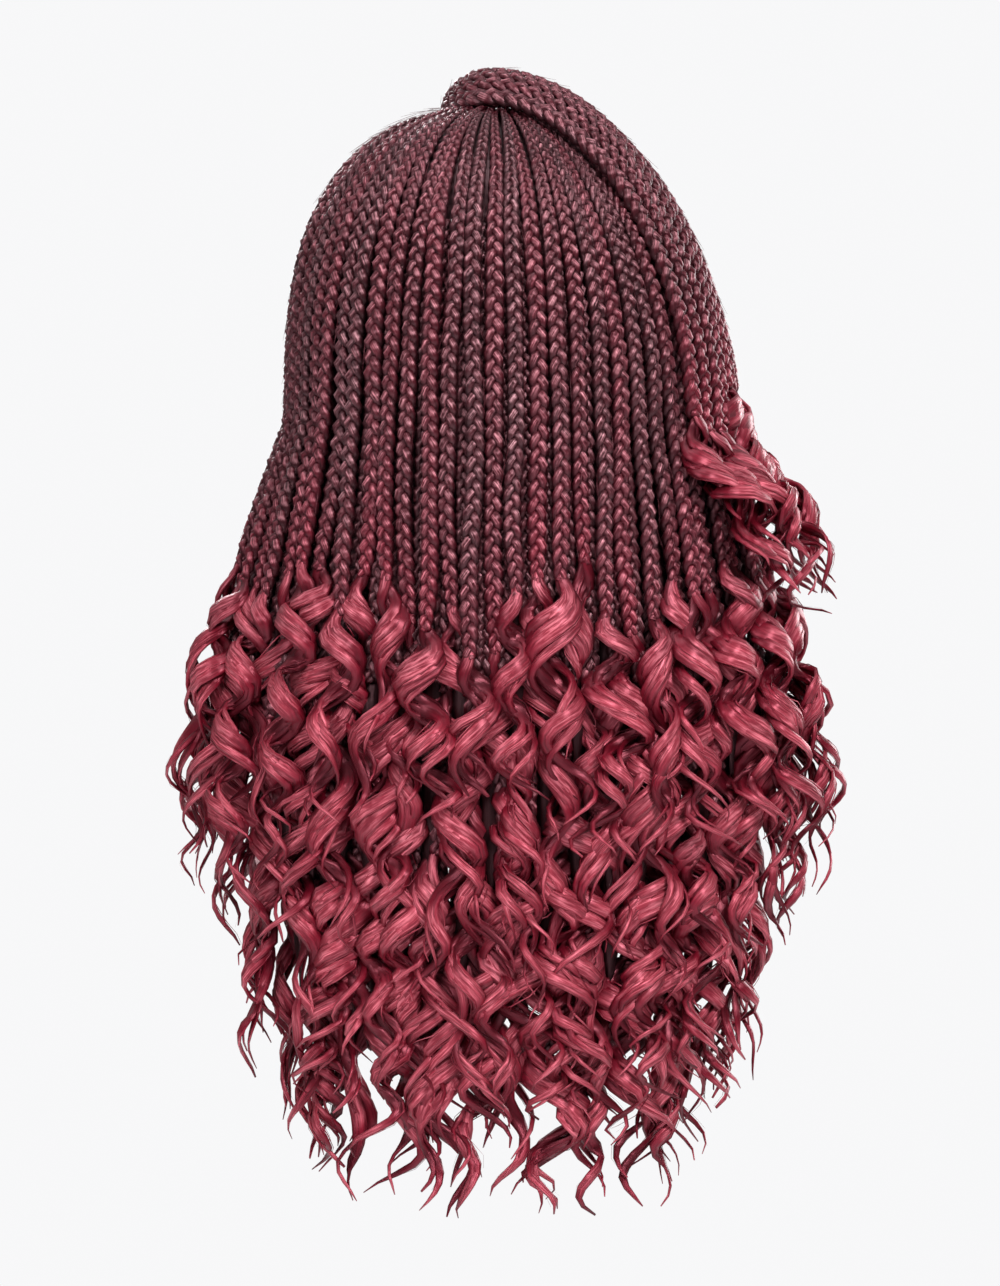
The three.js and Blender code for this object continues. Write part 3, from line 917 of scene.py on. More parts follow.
    def add_wisps(self, tress: Tress, ribbon: Ribbon, count: int, rng: np.random.Generator) -> None:
        """Add the fine wisps that run on a ribbon and stray from it here and there.

        Args:
            tress: Where the wisps go.
            ribbon: The ribbon that they run on.
            count: Number of wisps.
            rng: Source of their places and drifts.
        """
        stations = len(ribbon.line)
        for _ in range(count):
            place = rng.uniform(-1.0, 1.0)
            first = int(rng.uniform(0, self.wisp_start) * stations)
            last = stations - int(rng.uniform(0, self.wisp_stop) * stations)
            if last - first < 5:
                continue
            span = slice(first, last)
            lift = rng.choice([-1.0, 1.0]) * math.sqrt(max(0.0, 1 - place ** 2))
            flying = rng.uniform(0.0, 1.0) ** 3 * self.wisp_flight
            stray = wander(ribbon.along[span], 0.5 + flying, self.wisp_wave, rng)
            sideways = 1.04 * ribbon.half[span] * place + stray
            outwards = ribbon.thick[span] * lift + 0.2 * stray
            line = ribbon.line[span] + sideways[:, None] * ribbon.across[span]
            line = line + outwards[:, None] * ribbon.normal[span]
            run = np.linspace(0, 1, last - first)
            size = self.wisp * rng.uniform(0.5, 1.2) * np.clip(np.minimum(run * 6, (1 - run) * 3), 0.15, 1)
            tress.add_strand(
                line,
                ribbon.normal[span],
                size,
                size,
                3,
                ribbon.tone[span],
                rng.uniform(),
                ribbon.painted_light[span],
            )


@dataclass(frozen=True)
class Fuzz:
    """Short fibre ends that stand off a braid."""

    per_braid: int = 20
    length: float = 13.0
    length_range: tuple[float, float] = (0.5, 1.6)
    size: float = 0.13
    taper: tuple[float, ...] = (1.0, 1.0, 0.9, 0.7, 0.35)
    rise: tuple[float, float] = (0.2, 2.6)
    lean: float = 4.0

    def scatter(
        self, tress: Tress, route: Route, half_width: float, tone: float, rng: np.random.Generator
    ) -> None:
        """Add the fibre ends along a route.

        Args:
            tress: Where the fibre ends go.
            route: Middle line of the braid.
            half_width: Half the width of the braid.
            tone: How far along the dye is.
            rng: Source of their places and lengths.
        """
        for _ in range(self.per_braid):
            length = self.length * rng.uniform(*self.length_range)
            begin = rng.uniform(route.along[0], route.along[-1] - length)
            share = np.linspace(0, 1, len(self.taper))
            here = route.at(begin + share * length)
            sideways = half_width * rng.uniform(-1.0, 1.0)
            outwards = 0.55 * math.sqrt(max(0.0, half_width ** 2 - sideways ** 2))
            rise = share ** 1.6 * rng.uniform(*self.rise)
            lean = share ** 1.4 * rng.uniform(-self.lean, self.lean)
            line = here.points + (sideways + lean)[:, None] * here.side
            line = line + (outwards + rise)[:, None] * here.out
            size = self.size * np.array(self.taper)
            # Fibre ends take the strand's default painted light: slight painted shade and some painted
            # glint.
            tress.add_strand(line, here.out, size, size, 3, tone, rng.uniform())


# The form that the braids go round

@dataclass(frozen=True)
class CapForm:
    """Sizes shared by the sub-assemblies: the cap's outside and the layers that hang round it."""

    cap_half_width: float = 80.0
    cap_half_depth: float = 99.0
    cap_half_height: float = 107.0
    cap_centre_z: float = -105.0
    rim_side: float = 100.0
    rim_tilt: float = 50.0
    hang_centre_y: float = 5.0
    fan_half_width: float = 121.0
    fan_half_depth: float = 126.0
    fan_top_z: float = 19.0
    widest_z: float = -155.0
    spread_height: float = 155.0
    spread_back: float = 32.0
    crown: tuple[float, float] = (5.0, 18.0)
    tie: tuple[float, float] = (24.0, -10.0)
    tie_z: float = 8.3

    def rim_height(self, angle: Array | float) -> Array | float:
        """Height of the cap's rim at an angle from the back."""
        return -self.rim_side - self.rim_tilt * np.cos(angle)

    def on_cap(self, angle: Array, z: Array, growth: float = 0.0) -> Array:
        """Points on the cap's outside, moved out by a growth, at angles and heights.

        Args:
            angle: Angle from the back.
            z: Height.
            growth: Distance out from the cap.

        Returns:
            The points, one for each angle and height.
        """
        axes = np.array([self.cap_half_width, self.cap_half_depth, self.cap_half_height]) + growth
        rise = np.clip((z - self.cap_centre_z) / axes[2], -1, 1)
        reach = np.sqrt(1 - rise * rise)
        x = axes[0] * np.sin(angle) * reach
        y = axes[1] * np.cos(angle) * reach
        return np.stack(np.broadcast_arrays(x, y, z), -1)

    def hang(self, angle: float, z: Array, half_width: float, half_depth: float, flare: float) -> Array:
        """Points of a hanging layer, which spreads outwards and back lower down.

        Args:
            angle: Angle from the back.
            z: Height, or several.
            half_width: Half the width of the layer where it starts to hang.
            half_depth: Half the depth of the layer there.
            flare: Share by which the sides spread lower down.

        Returns:
            One point for each height.
        """
        spread = np.clip((self.widest_z - z) / self.spread_height, 0, 1)
        sideways = math.sin(angle)
        x = half_width * sideways * (1 + flare * sideways * sideways * spread)
        y = self.hang_centre_y + half_depth * math.cos(angle)
        y = y + self.spread_back * (1 - math.cos(angle)) * spread
        return np.stack(np.broadcast_arrays(x, y, z), -1)


@dataclass(frozen=True)
class Dye:
    """How one braid goes from its dark root to the redder hair above its curl."""

    root: tuple[float, float]
    gain: float
    before: float
    over: float

    def tones(self, route: Route, end: float, rng: np.random.Generator) -> Array:
        """Dye at each point of a route, from the length at which its curl begins."""
        reddening = smooth((route.along - end + self.before) / self.over)
        return np.clip(rng.uniform(*self.root) + self.gain * reddening, 0, 1)


@dataclass
class Workshop:
    """What every sub-assembly needs: the form, the patterns and the finish."""

    form: CapForm
    plait: Plait
    curl: Curl
    fuzz: Fuzz
    fibre: bpy.types.Material
    triangles: dict[str, int] = field(default_factory=dict)

    def hand_over(self, tress: Tress, name: str, node: str) -> None:
        """Make a piece, set it in the place of its solid and report it.

        Args:
            tress: The strands of the piece.
            name: Name of the piece.
            node: Name of the solid in whose place it goes.
        """
        thing = tress.make(name, self.fibre)
        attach(thing, "root")
        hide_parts(node)
        self.triangles[name] = tress.triangles()
        LOG.info("%s: %d triangles", name, tress.triangles())


def route_beside(line_at: Callable[[float], Array], place: float, step: float = 0.02) -> Route:
    """Make a route from a family of lines.

    Args:
        line_at: Gives the line at a place across the family.
        place: Place of this line.
        step: Small distance to the lines beside it.

    Returns:
        The route at that place.
    """
    return Route.from_lines(line_at(place), line_at(place - step), line_at(place + step))


@dataclass
class Fan:
    """The outer braids, which leave the crown like a fan, hang and open into curls."""

    braids: int = 36
    half_angle: float = 98.0
    root_radius: float = 4.0
    root_dip: float = 10.0
    squareness: float = 2.2
    squareness_to_left: float = 0.45
    width_range: tuple[float, float] = (0.93, 1.06)
    crown_width: float = 4.6
    crown_share: float = 1.16
    stacks: tuple[float, float] = (-0.35, 0.45)
    hangs_from: float = 190.0
    hangs_over: float = 120.0
    hanging_lifts: tuple[float, float] = (-1.6, 2.0)
    curls_from: float = 320.0
    curls_over: float = 70.0
    curl_lifts: tuple[float, float] = (-4.5, 4.0)
    under_drop: float = 5.6
    under_tip_z: float = -300.0
    curl_top_z: float = -236.0
    curl_drop: float = 60.0
    flare: float = 0.4
    tip_z: float = -390.0
    side_fall: float = 34.0
    tip_range: tuple[float, float] = (-14.0, 22.0)
    crown_sway: tuple[float, float] = (1.3, 260.0)
    hanging_sway: tuple[float, float] = (3.4, 330.0)
    ripple: tuple[float, float] = (0.7, 190.0)
    under_plait: Plait = Plait(width=10.6, stations=6, sides=5)
    under_plaited_from: float = -50.0
    dye: Dye = Dye(root=(0.02, 0.3), gain=0.45, before=90.0, over=110.0)
    end_closing: float = 0.3
    closing_length: float = 18.0
    seed: int = 100

    def line(self, form: CapForm, angle: float, tip_z: float) -> Array:
        """Middle line of a braid at an angle, from the gather down to a height.

        Args:
            form: Sizes of the cap and of the layers round it.
            angle: Angle from the back.
            tip_z: Height of the tip.

        Returns:
            The points of the line.
        """
        rim = form.hang(angle, np.array(form.widest_z), form.fan_half_width, form.fan_half_depth, 0.0)
        away = rim[:2] - np.array(form.crown)
        reach = float(np.hypot(*away))
        share = np.sin(np.linspace(math.asin(self.root_radius / reach), math.pi / 2, 110))
        power = self.squareness + self.squareness_to_left * math.sin(angle)
        height = (form.fan_top_z - form.widest_z) * (1 - share ** power) ** (1 / power)
        dip = self.root_dip * np.clip(1 - share * reach / 30, 0, 1) ** 2
        dome = np.column_stack(
            [form.crown[0] + away[0] * share, form.crown[1] + away[1] * share, form.widest_z + height - dip]
        )
        drop = np.arange(form.widest_z - 3, tip_z, -3.0)
        hanging = form.hang(angle, drop, form.fan_half_width, form.fan_half_depth, self.flare)
        return np.concatenate([dome, hanging])

    def room(self, route: Route, form: CapForm) -> Array:
        """Distance between neighbours at each point of a route."""
        away = np.hypot(route.points[:, 0] - form.crown[0], route.points[:, 1] - form.crown[1])
        return away * math.radians(2 * self.half_angle / (self.braids - 1))

    def build_under(self, form: CapForm, tress: Tress, angle: float, rng: np.random.Generator) -> None:
        """Add the braid that lies under the gap beside an outer one, dark from its root dye and from the
        painted shade of its covered part.

        Args:
            form: Sizes of the cap and of the layers round it.
            tress: Where the braid goes.
            angle: Angle from the back.
            rng: Source of the phase and the shades.
        """
        under = route_beside(lambda place: self.line(form, place, self.under_tip_z), angle)
        under = under.moved(0.0, -self.under_drop)
        shown = under.where_height(self.under_plaited_from)
        self.under_plait.lay_covered(tress, under.stretch(0.0, shown + 20), 0.0, rng)
        lower = under.stretch(shown, under.along[-1])
        self.under_plait.weave(tress, lower, self.under_plait.width, 0.1, rng)

    def build(self, shop: Workshop) -> None:
        """Make every braid of the fan as a piece of its own.

        Args:
            shop: The form, the patterns and the finish, and where the count goes.
        """
        angles = np.radians(np.linspace(-self.half_angle, self.half_angle, self.braids))
        for i, angle in enumerate(angles):
            rng = np.random.default_rng(self.seed + i)
            tress = Tress()
            fall = self.side_fall * abs(math.sin(angle)) ** 3
            tip_z = self.tip_z - fall + rng.uniform(*self.tip_range)
            route = route_beside(lambda place: self.line(shop.form, place, tip_z), angle)
            room = self.room(route, shop.form)
            full = shop.plait.width * rng.uniform(*self.width_range)
            width = np.minimum(full, np.maximum(self.crown_width, self.crown_share * room))
            stack = np.clip(1 - room / width, 0, 1) * width * self.stacks[i % 2]
            hanging = smooth((route.along - self.hangs_from) / self.hangs_over)
            sway = wander(route.along, *self.crown_sway, rng)
            sway = sway + hanging * wander(route.along, *self.hanging_sway, rng)
            lift = wander(route.along, *self.ripple, rng) + hanging * self.hanging_lifts[i % 2]
            curling = smooth((route.along - self.curls_from) / self.curls_over)
            lift = lift + curling * self.curl_lifts[i % 2]
            route = route.moved(sway, stack + lift)
            opening = self.curl_top_z - self.curl_drop * rng.uniform(0, 1) * math.cos(angle / 1.2) ** 2
            end = route.where_height(opening)
            tone = self.dye.tones(route, end, rng)
            above = route.along <= end
            braid = route.stretch(0.0, end)
            ending = smooth((braid.along - end + self.closing_length) / self.closing_length)
            closing = 1 - self.end_closing * ending
            shop.plait.weave(tress, braid, width[above] * closing, tone[above], rng)
            shop.fuzz.scatter(tress, braid, shop.plait.width / 2, 0.3, rng)
            if 2 < i < self.braids - 4:
                self.build_under(shop.form, tress, (angle + angles[i + 1]) / 2, rng)
            below = route.stretch(end - shop.curl.overlap, route.along[-1])
            shop.curl.wind(tress, below, rng, shop.plait.width / 2)
            shop.hand_over(tress, f"fan_braid_{i + 1:02d}", f"fan_{i + 1:02d}")


@dataclass
class Row:
    """A row of braids under the fan, on its track across the back of the cap."""

    name: str
    node: str
    braids: int
    seat: float
    layer: int
    curl_top_z: float
    tip_z: float
    flare: float
    seed: int
    first_lay: Lay = Lay.COVERED
    half_angle: float = 89.0
    seat_side: float = 0.6
    layer_pitch: float = 7.0
    side_inset: float = 7.0
    hang_z: float = -170.0
    plaited_from_z: float = -196.0
    filled_angle: float = 76.0
    side_angle: float = 66.0
    filler_drop: float = 45.0
    filler_inset: float = 2.5
    tip_rise: float = 14.0
    tip_range: tuple[float, float] = (-8.0, 22.0)
    opening_range: tuple[float, float] = (-20.0, 16.0)
    stray_angle: float = 1.6
    hangs_from: float = 80.0
    hangs_over: float = 90.0
    dye: Dye = Dye(root=(0.0, 0.22), gain=0.4, before=40.0, over=50.0)
    width_range: tuple[float, float] = (0.86, 1.0)
    track_width: float = 7.0
    filler_width: float = 10.6
    sway: tuple[float, float] = (5.0, 320.0)
    ripple: tuple[float, float] = (1.6, 230.0)

    def seat_height(self, form: CapForm, angle: Array | float) -> Array | float:
        """Height of the track on the cap at an angle."""
        share = self.seat * (self.seat_side + (1 - self.seat_side) * np.cos(angle))
        return form.rim_height(angle) + share * (2 - form.rim_height(angle))

    def line(self, form: CapForm, angle: float, tip_z: float) -> Array:
        """Middle line of a braid at an angle, from the track down to a height.

        Args:
            form: Sizes of the cap and of the layers round it.
            angle: Angle from the back.
            tip_z: Height of the tip.

        Returns:
            The points of the line.
        """
        half_width = form.fan_half_width - self.layer_pitch * self.layer - self.side_inset
        half_depth = form.fan_half_depth - self.layer_pitch * self.layer
        root = form.on_cap(np.array(angle), np.array(self.seat_height(form, angle)), 2.5)
        low = form.hang(angle, np.array(self.hang_z), half_width, half_depth, self.flare)
        turn = np.linspace(0, math.pi / 2, 40)
        out = np.sin(turn)[:, None]
        down = (1 - np.cos(turn))[:, None]
        dome = root + (low - root) * np.concatenate([out, out, down], axis=1)
        drop = np.arange(self.hang_z - 3, tip_z, -3.0)
        hanging = form.hang(angle, drop, half_width, half_depth, self.flare)
        return np.concatenate([dome, hanging])

    def build_track(self, shop: Workshop, tress: Tress) -> None:
        """Add the plaited track that carries the row.

        Args:
            shop: The form, the patterns and the finish, and where the count goes.
            tress: Where the track goes.
        """
        angles = np.radians(np.linspace(-self.half_angle, self.half_angle, 60))
        heights = self.seat_height(shop.form, angles)
        lines = [shop.form.on_cap(angles, heights + lift, 2.2) for lift in (0.0, -1.0, 1.0)]
        route = Route.from_lines(*lines)
        rng = np.random.default_rng(self.seed)
        shop.plait.weave(tress, route, self.track_width, 0.1, rng, thin=0.8)

    def build_between(self, form: CapForm, tress: Tress, angle: float, rng: np.random.Generator) -> None:
        """Add a braid that fills the gap between two others and ends among their curls.

        Args:
            form: Sizes of the cap and of the layers round it.
            tress: Where the braid goes.
            angle: Angle from the back.
            rng: Source of the phase and the shades.
        """
        tip_z = self.curl_top_z - self.filler_drop
        route = route_beside(lambda place: self.line(form, place, tip_z), angle)
        route = route.moved(0.0, -self.filler_inset)
        if self.first_lay is Lay.PLAITED:
            Plait(stations=6, sides=5).weave(tress, route, self.filler_width, 0.1, rng)
        else:
            Plait().lay_covered(tress, route, 0.1, rng)

    def build(self, shop: Workshop) -> None:
        """Make the row as one piece.

        Args:
            shop: The form, the patterns and the finish, and where the count goes.
        """
        tress = Tress()
        self.build_track(shop, tress)
        rng = np.random.default_rng(self.seed)
        plait = Plait(stations=7, sides=6)
        curl = Curl(station=5.2, sides=6, wisps=(4, 2, 1, 0))
        places = np.linspace(-self.half_angle, self.half_angle, self.braids)
        for degrees in places:
            between = degrees + (places[1] - places[0]) / 2
            if abs(between) < self.filled_angle:
                self.build_between(shop.form, tress, math.radians(between), rng)
            angle = math.radians(degrees + rng.uniform(-self.stray_angle, self.stray_angle))
            rise = self.tip_rise * abs(math.sin(angle)) ** 1.5
            tip_z = self.tip_z + rise + rng.uniform(*self.tip_range)
            opening = self.curl_top_z + rng.uniform(*self.opening_range)
            route = route_beside(lambda place: self.line(shop.form, place, tip_z), angle)
            hanging = smooth((route.along - self.hangs_from) / self.hangs_over)
            sway = hanging * wander(route.along, *self.sway, rng)
            route = route.moved(sway, hanging * wander(route.along, *self.ripple, rng))
            end = route.where_height(opening)
            shows = self.first_lay is Lay.PLAITED or abs(degrees) > self.side_angle
            start = 0.0 if shows else route.where_height(self.plaited_from_z)
            tone = self.dye.tones(route, end, rng)
            shown = (route.along >= start) & (route.along <= end)
            if start > 0:
                plait.lay_covered(tress, route.stretch(0.0, start), 0.1, rng)
            braid = route.stretch(start, end)
            width = shop.plait.width * rng.uniform(*self.width_range)
            plait.weave(tress, braid, width, tone[shown], rng)
            below = route.stretch(end - curl.overlap, route.along[-1])
            curl.wind(tress, below, rng, shop.plait.width / 2)
        shop.hand_over(tress, self.name, self.node)


@dataclass
class Tail:
    """The free ends of the tied braids: out of the tie, over the crown and down one side."""

    braids: int = 9
    pitch: float = 8.4
    start_x: float = 6.0
    middle_y: float = 11.0
    top_z: float = 40.0
    layer: float = 7.8
    first_angle: float = -97.0
    last_angle: float = -53.0
    arch: float = 8.5
    squareness: float = 1.8
    flare: float = 0.4
    curl_top_z: float = -158.0
    curl_lift: float = 16.0
    tip_z: float = -262.0
    bundle_reach: float = 6.6
    fold_reach: float = 20.0
    fold_length: float = 48.0
    stacks: tuple[float, float] = (-3.2, 3.2)
    tip_range: tuple[float, float] = (-10.0, 20.0)
    opening_range: tuple[float, float] = (-14.0, 22.0)
    sway: tuple[float, float] = (0.8, 240.0)
    ripple: tuple[float, float] = (0.6, 170.0)
    dye: Dye = Dye(root=(0.08, 0.26), gain=0.5, before=100.0, over=110.0)
    curl: Curl = Curl(radius=12.5, ribbon=7.2, widths=(1.0, 0.86, 0.72, 0.6))
    seed: int = 500

    def over_crown(self, form: CapForm, start: Array, end: Array, share: Array) -> Array:
        """Points of the band from its start near the tie to its end at the side.

        Args:
            form: Sizes of the cap and of the layers round it.
            start: Place of the start, seen from above.
            end: Place of the end, seen from above.
            share: How far along the band each point is, from 0 to 1.

        Returns:
            The points of the band.
        """
        half_band = self.pitch * (self.braids - 1) / 2
        plan = start + (end - start) * share[:, None]
        crown = np.array(form.crown)
        away = plan - crown
        half_width = form.fan_half_width + self.layer
        half_depth = form.fan_half_depth + self.layer
        angle = np.arctan2(away[:, 0] / form.fan_half_width, away[:, 1] / form.fan_half_depth)
        to_end = float(np.hypot(*(end - crown)))
        to_rim = np.hypot(
            half_width * np.sin(angle) - crown[0],
            form.hang_centre_y + half_depth * np.cos(angle) - crown[1],
        )
        reach = np.where(share > 0.5, to_end + (to_rim - to_end) * 2 * (1 - share), to_rim)
        out = np.minimum(1, np.hypot(away[:, 0], away[:, 1]) / reach)
        across = (start[1] - self.middle_y) / half_band
        height = (self.top_z - form.widest_z) * (1 - out ** self.squareness) ** (1 / self.squareness)
        z = form.widest_z + height - self.arch * across * across * (1 - share * share)
        return np.column_stack([plan, z])

    def line(self, form: CapForm, place: float, tip_z: float) -> Array:
        """Middle line of a braid at a place across the band, from -1 to 1.

        Args:
            form: Sizes of the cap and of the layers round it.
            place: Place across the band.
            tip_z: Height of the tip.

        Returns:
            The points of the line.
        """
        half_band = self.pitch * (self.braids - 1) / 2
        angle = math.radians(self.first_angle + (self.last_angle - self.first_angle) * (place + 1) / 2)
        start = np.array([self.start_x, self.middle_y + half_band * place])
        half_width = form.fan_half_width + self.layer
        half_depth = form.fan_half_depth + self.layer
        end = form.hang(angle, np.array(form.widest_z), half_width, half_depth, 0.0)[:2]
        share = np.sin(np.linspace(0, math.pi / 2, 90))
        band = self.over_crown(form, start, end, share)
        foot = np.array([form.tie[0], form.tie[1] + self.bundle_reach * place, -2.0])
        neck = foot + np.array([0.0, 0.0, form.tie_z + 8.0])
        turn = np.linspace(0, 1, 30)[:, None]
        risen = neck + np.array([self.fold_reach, 0.0, 0.5 * (band[0, 2] - neck[2])])
        turned = band[0] + np.array([0.75 * self.fold_reach, 0.0, 1.5])
        fold = (1 - turn) ** 3 * neck + 3 * (1 - turn) ** 2 * turn * risen
        fold = fold + 3 * (1 - turn) * turn ** 2 * turned + turn ** 3 * band[0]
        rise = foot + (neck - foot) * np.linspace(0, 1, 6)[:, None]
        drop = np.arange(form.widest_z - 3, tip_z, -3.0)
        lift = self.curl_lift * smooth((self.curl_top_z - drop) / 56)
        hanging = [
            form.hang(angle, np.array(z), half_width + more, half_depth + more, self.flare)
            for z, more in zip(drop, lift)
        ]
        return np.concatenate([rise[:-1], fold[:-1], band, np.array(hanging)])

    def build(self, shop: Workshop) -> None:
        """Make every braid of the tail as a piece of its own.

        Args:
            shop: The form, the patterns and the finish, and where the count goes.
        """
        for i, place in enumerate(np.linspace(-1, 1, self.braids)):
            rng = np.random.default_rng(self.seed + i)
            tress = Tress()
            tip_z = self.tip_z + rng.uniform(*self.tip_range)
            route = route_beside(lambda p: self.line(shop.form, p, tip_z), place, 0.03)
            crowd = 1 - smooth(route.along / self.fold_length)
            width = shop.plait.width * (0.94 - 0.4 * crowd)
            stack = crowd * self.stacks[i % 2]
            sway = wander(route.along, *self.sway, rng)
            route = route.moved(sway, stack + wander(route.along, *self.ripple, rng))
            end = route.where_height(self.curl_top_z + rng.uniform(*self.opening_range))
            tone = self.dye.tones(route, end, rng)
            above = route.along <= end
            braid = route.stretch(0.0, end)
            shop.plait.weave(tress, braid, width[above], tone[above], rng)
            shop.fuzz.scatter(tress, braid, shop.plait.width / 2, 0.35, rng)
            below = route.stretch(end - self.curl.overlap, route.along[-1])
            self.curl.wind(tress, below, rng, shop.plait.width / 2)
            shop.hand_over(tress, f"tail_braid_{i + 1:02d}", f"tail_{i + 1:02d}")


@dataclass
class FrontRow:
    """Braids from the hairline, laid back over the cap and up through the tie."""

    braids: int = 24
    first_angle: float = -98.0
    last_angle: float = 86.0
    rim_inset: float = 4.0
    rise: float = 4.6
    end_radius: float = 7.0
    width: float = 9.4
    narrowest: float = 4.2
    room_share: float = 1.15
    crowded_lift: float = 2.4
    turn_room: float = 9.0
    lead_steps: float = 3.0
    climb_past: float = 3.0
    climb_drop: float = 9.0
    entry: tuple[float, float] = (0.55, 0.45)
    entry_length: float = 14.0
    ripple: tuple[float, float] = (0.5, 90.0)
    root_tone: tuple[float, float] = (0.0, 0.22)
    seed: int = 900

    def line(self, form: CapForm, angle: float) -> Array:
        """Middle line of a braid from the hairline at an angle to the tie.

        Args:
            form: Sizes of the cap and of the layers round it.
            angle: Angle from the back.

        Returns:
            The points of the line.
        """
        axes = np.array([form.cap_half_width, form.cap_half_depth, form.cap_half_height])
        middle = np.array([0.0, 0.0, form.cap_centre_z])
        start = form.on_cap(np.array(angle), np.array(form.rim_height(angle) + self.rim_inset)) - middle
        top = math.sqrt(1 - (form.tie[0] / axes[0]) ** 2 - (form.tie[1] / axes[1]) ** 2) * axes[2]
        tie = np.array([form.tie[0], form.tie[1], top])
        inset = 1 - (self.end_radius + self.turn_room) / float(np.linalg.norm(start - tie))
        share = np.linspace(0, inset, 60)[:, None]
        towards = unit((start + (tie - start) * share) / axes)
        laid = towards * (axes + self.rise) + middle
        away = laid[-1] - (tie + middle)
        flat = unit(np.array([[away[0], away[1], 0.0]]))[0] * self.end_radius
        top_point = np.array([form.tie[0], form.tie[1], form.tie_z + self.climb_past]) + flat
        turn = np.linspace(0, 1, 14)[1:, None]
        lead = laid[-1] + (laid[-1] - laid[-2]) * self.lead_steps
        under = top_point - np.array([0.0, 0.0, self.climb_drop])
        climb = (1 - turn) ** 3 * laid[-1] + 3 * (1 - turn) ** 2 * turn * lead
        climb = climb + 3 * (1 - turn) * turn ** 2 * under + turn ** 3 * top_point
        return np.concatenate([laid, climb])

    def build(self, shop: Workshop) -> None:
        """Make the row as one piece, with the short wisps of its hairline.

        Args:
            shop: The form, the patterns and the finish, and where the count goes.
        """
        tress = Tress()
        rng = np.random.default_rng(self.seed)
        plait = Plait(stations=9, sides=6)
        angles = math.pi + np.radians(np.linspace(self.first_angle, self.last_angle, self.braids))
        for i, angle in enumerate(angles):
            route = route_beside(lambda place: self.line(shop.form, place), angle, -0.02)
            beside = self.line(shop.form, angle + angles[1] - angles[0])
            room = np.linalg.norm(route.points - beside, axis=1)
            width = np.clip(self.room_share * room, self.narrowest, self.width)
            lift = np.clip(1 - room / width, 0, 1) * (self.crowded_lift if i % 2 else 0.0)
            route = route.moved(wander(route.along, *self.ripple, rng), lift)
            entering = self.entry[0] + self.entry[1] * smooth(route.along / self.entry_length)
            tone = rng.uniform(*self.root_tone)
            plait.weave(tress, route, width * entering, tone, rng, thin=0.85)
            Fuzz(per_braid=14).scatter(tress, route, self.width / 2, 0.2, rng)
        shop.hand_over(tress, "front_row_braids", "front_row")


# The cap and the tie, modelled one by one

def deselect_all() -> None:
    """Leave nothing selected."""
    for thing in bpy.context.view_layer.objects:
        thing.select_set(False)


def smoothed(thing: bpy.types.Object) -> None:
    """Shade an object smooth."""
    for face in thing.data.polygons:
        face.use_smooth = True


@dataclass
class StretchCap:
    """The knitted cap that carries every row; its elastic edge is not modelled apart from the knit."""

    wall: float = 2.0
    columns: int = 72
    rows: int = 36

    def build(self, form: CapForm, finish: bpy.types.Material) -> None:
        """Model the cap from a sphere cut along the rim.

        Args:
            form: Sizes of the cap and of the layers round it.
            finish: The knit.
        """
        deselect_all()
        bpy.ops.mesh.primitive_uv_sphere_add(
            segments=self.columns, ring_count=self.rows, radius=1.0, location=(0, 0, 0)
        )
        cap = bpy.context.active_object
        cap.name = cap.data.name = "stretch_cap"
        for vertex in cap.data.vertices:
            x, y, z = vertex.co
            vertex.co = (
                x * (form.cap_half_width - self.wall) * MM,
                y * (form.cap_half_depth - self.wall) * MM,
                (form.cap_centre_z + z * (form.cap_half_height - self.wall)) * MM,
            )
        slope = form.rim_tilt / (form.cap_half_depth * 0.86)
        bpy.ops.object.mode_set(mode="EDIT")
        bpy.ops.mesh.select_all(action="SELECT")
        bpy.ops.mesh.bisect(
            plane_co=(0, 0, -form.rim_side * MM), plane_no=(0, -slope, -1), clear_outer=True
        )
        bpy.ops.mesh.select_all(action="SELECT")
        bpy.ops.mesh.remove_doubles(threshold=0.01 * MM)
        bpy.ops.mesh.normals_make_consistent(inside=False)
        bpy.ops.object.mode_set(mode="OBJECT")
        wall = cap.modifiers.new("wall", "SOLIDIFY")
        wall.thickness = self.wall * MM
        wall.offset = 1.0
        bpy.ops.object.modifier_apply(modifier=wall.name)
        smoothed(cap)
        cap.data.materials.append(finish)
        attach(cap, "root")
        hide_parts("cap")
        LOG.info("stretch_cap: %d faces", len(cap.data.polygons))


@dataclass
class HairTie:
    """A ring of covered elastic round the bundle, with the gathers of its cover."""

    radius: float = 13.6
    wire: float = 2.3
    gathers: int = 44
    gather_depth: float = 0.35

    def build(self, form: CapForm, finish: bpy.types.Material) -> None:
        """Model the tie from a torus whose cover is drawn into slanting gathers.

        Args:
            form: Sizes of the cap and of the layers round it.
            finish: The elastic's cover.
        """
        deselect_all()
        bpy.ops.mesh.primitive_torus_add(
            location=(0, 0, 0),
            major_segments=176,
            minor_segments=14,
            major_radius=self.radius * MM,
            minor_radius=self.wire * MM,
        )
        tie = bpy.context.active_object
        tie.name = tie.data.name = "covered_hair_tie"
        for vertex in tie.data.vertices:
            x, y, z = vertex.co
            around = math.atan2(y, x)
            flat = math.hypot(x, y)
            turn = math.atan2(z, flat - self.radius * MM)
            fold = 1 + self.gather_depth / self.wire * math.sin(self.gathers * around + 2 * turn)
            reach = self.radius * MM + self.wire * MM * fold * math.cos(turn)
            vertex.co = (
                reach * math.cos(around) + form.tie[0] * MM,
                reach * math.sin(around) + form.tie[1] * MM,
                self.wire * MM * fold * math.sin(turn) + form.tie_z * MM,
            )
        smoothed(tie)
        tie.data.materials.append(finish)
        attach(tie, "root")
        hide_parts("hair_tie")
        LOG.info("covered_hair_tie: %d faces", len(tie.data.polygons))


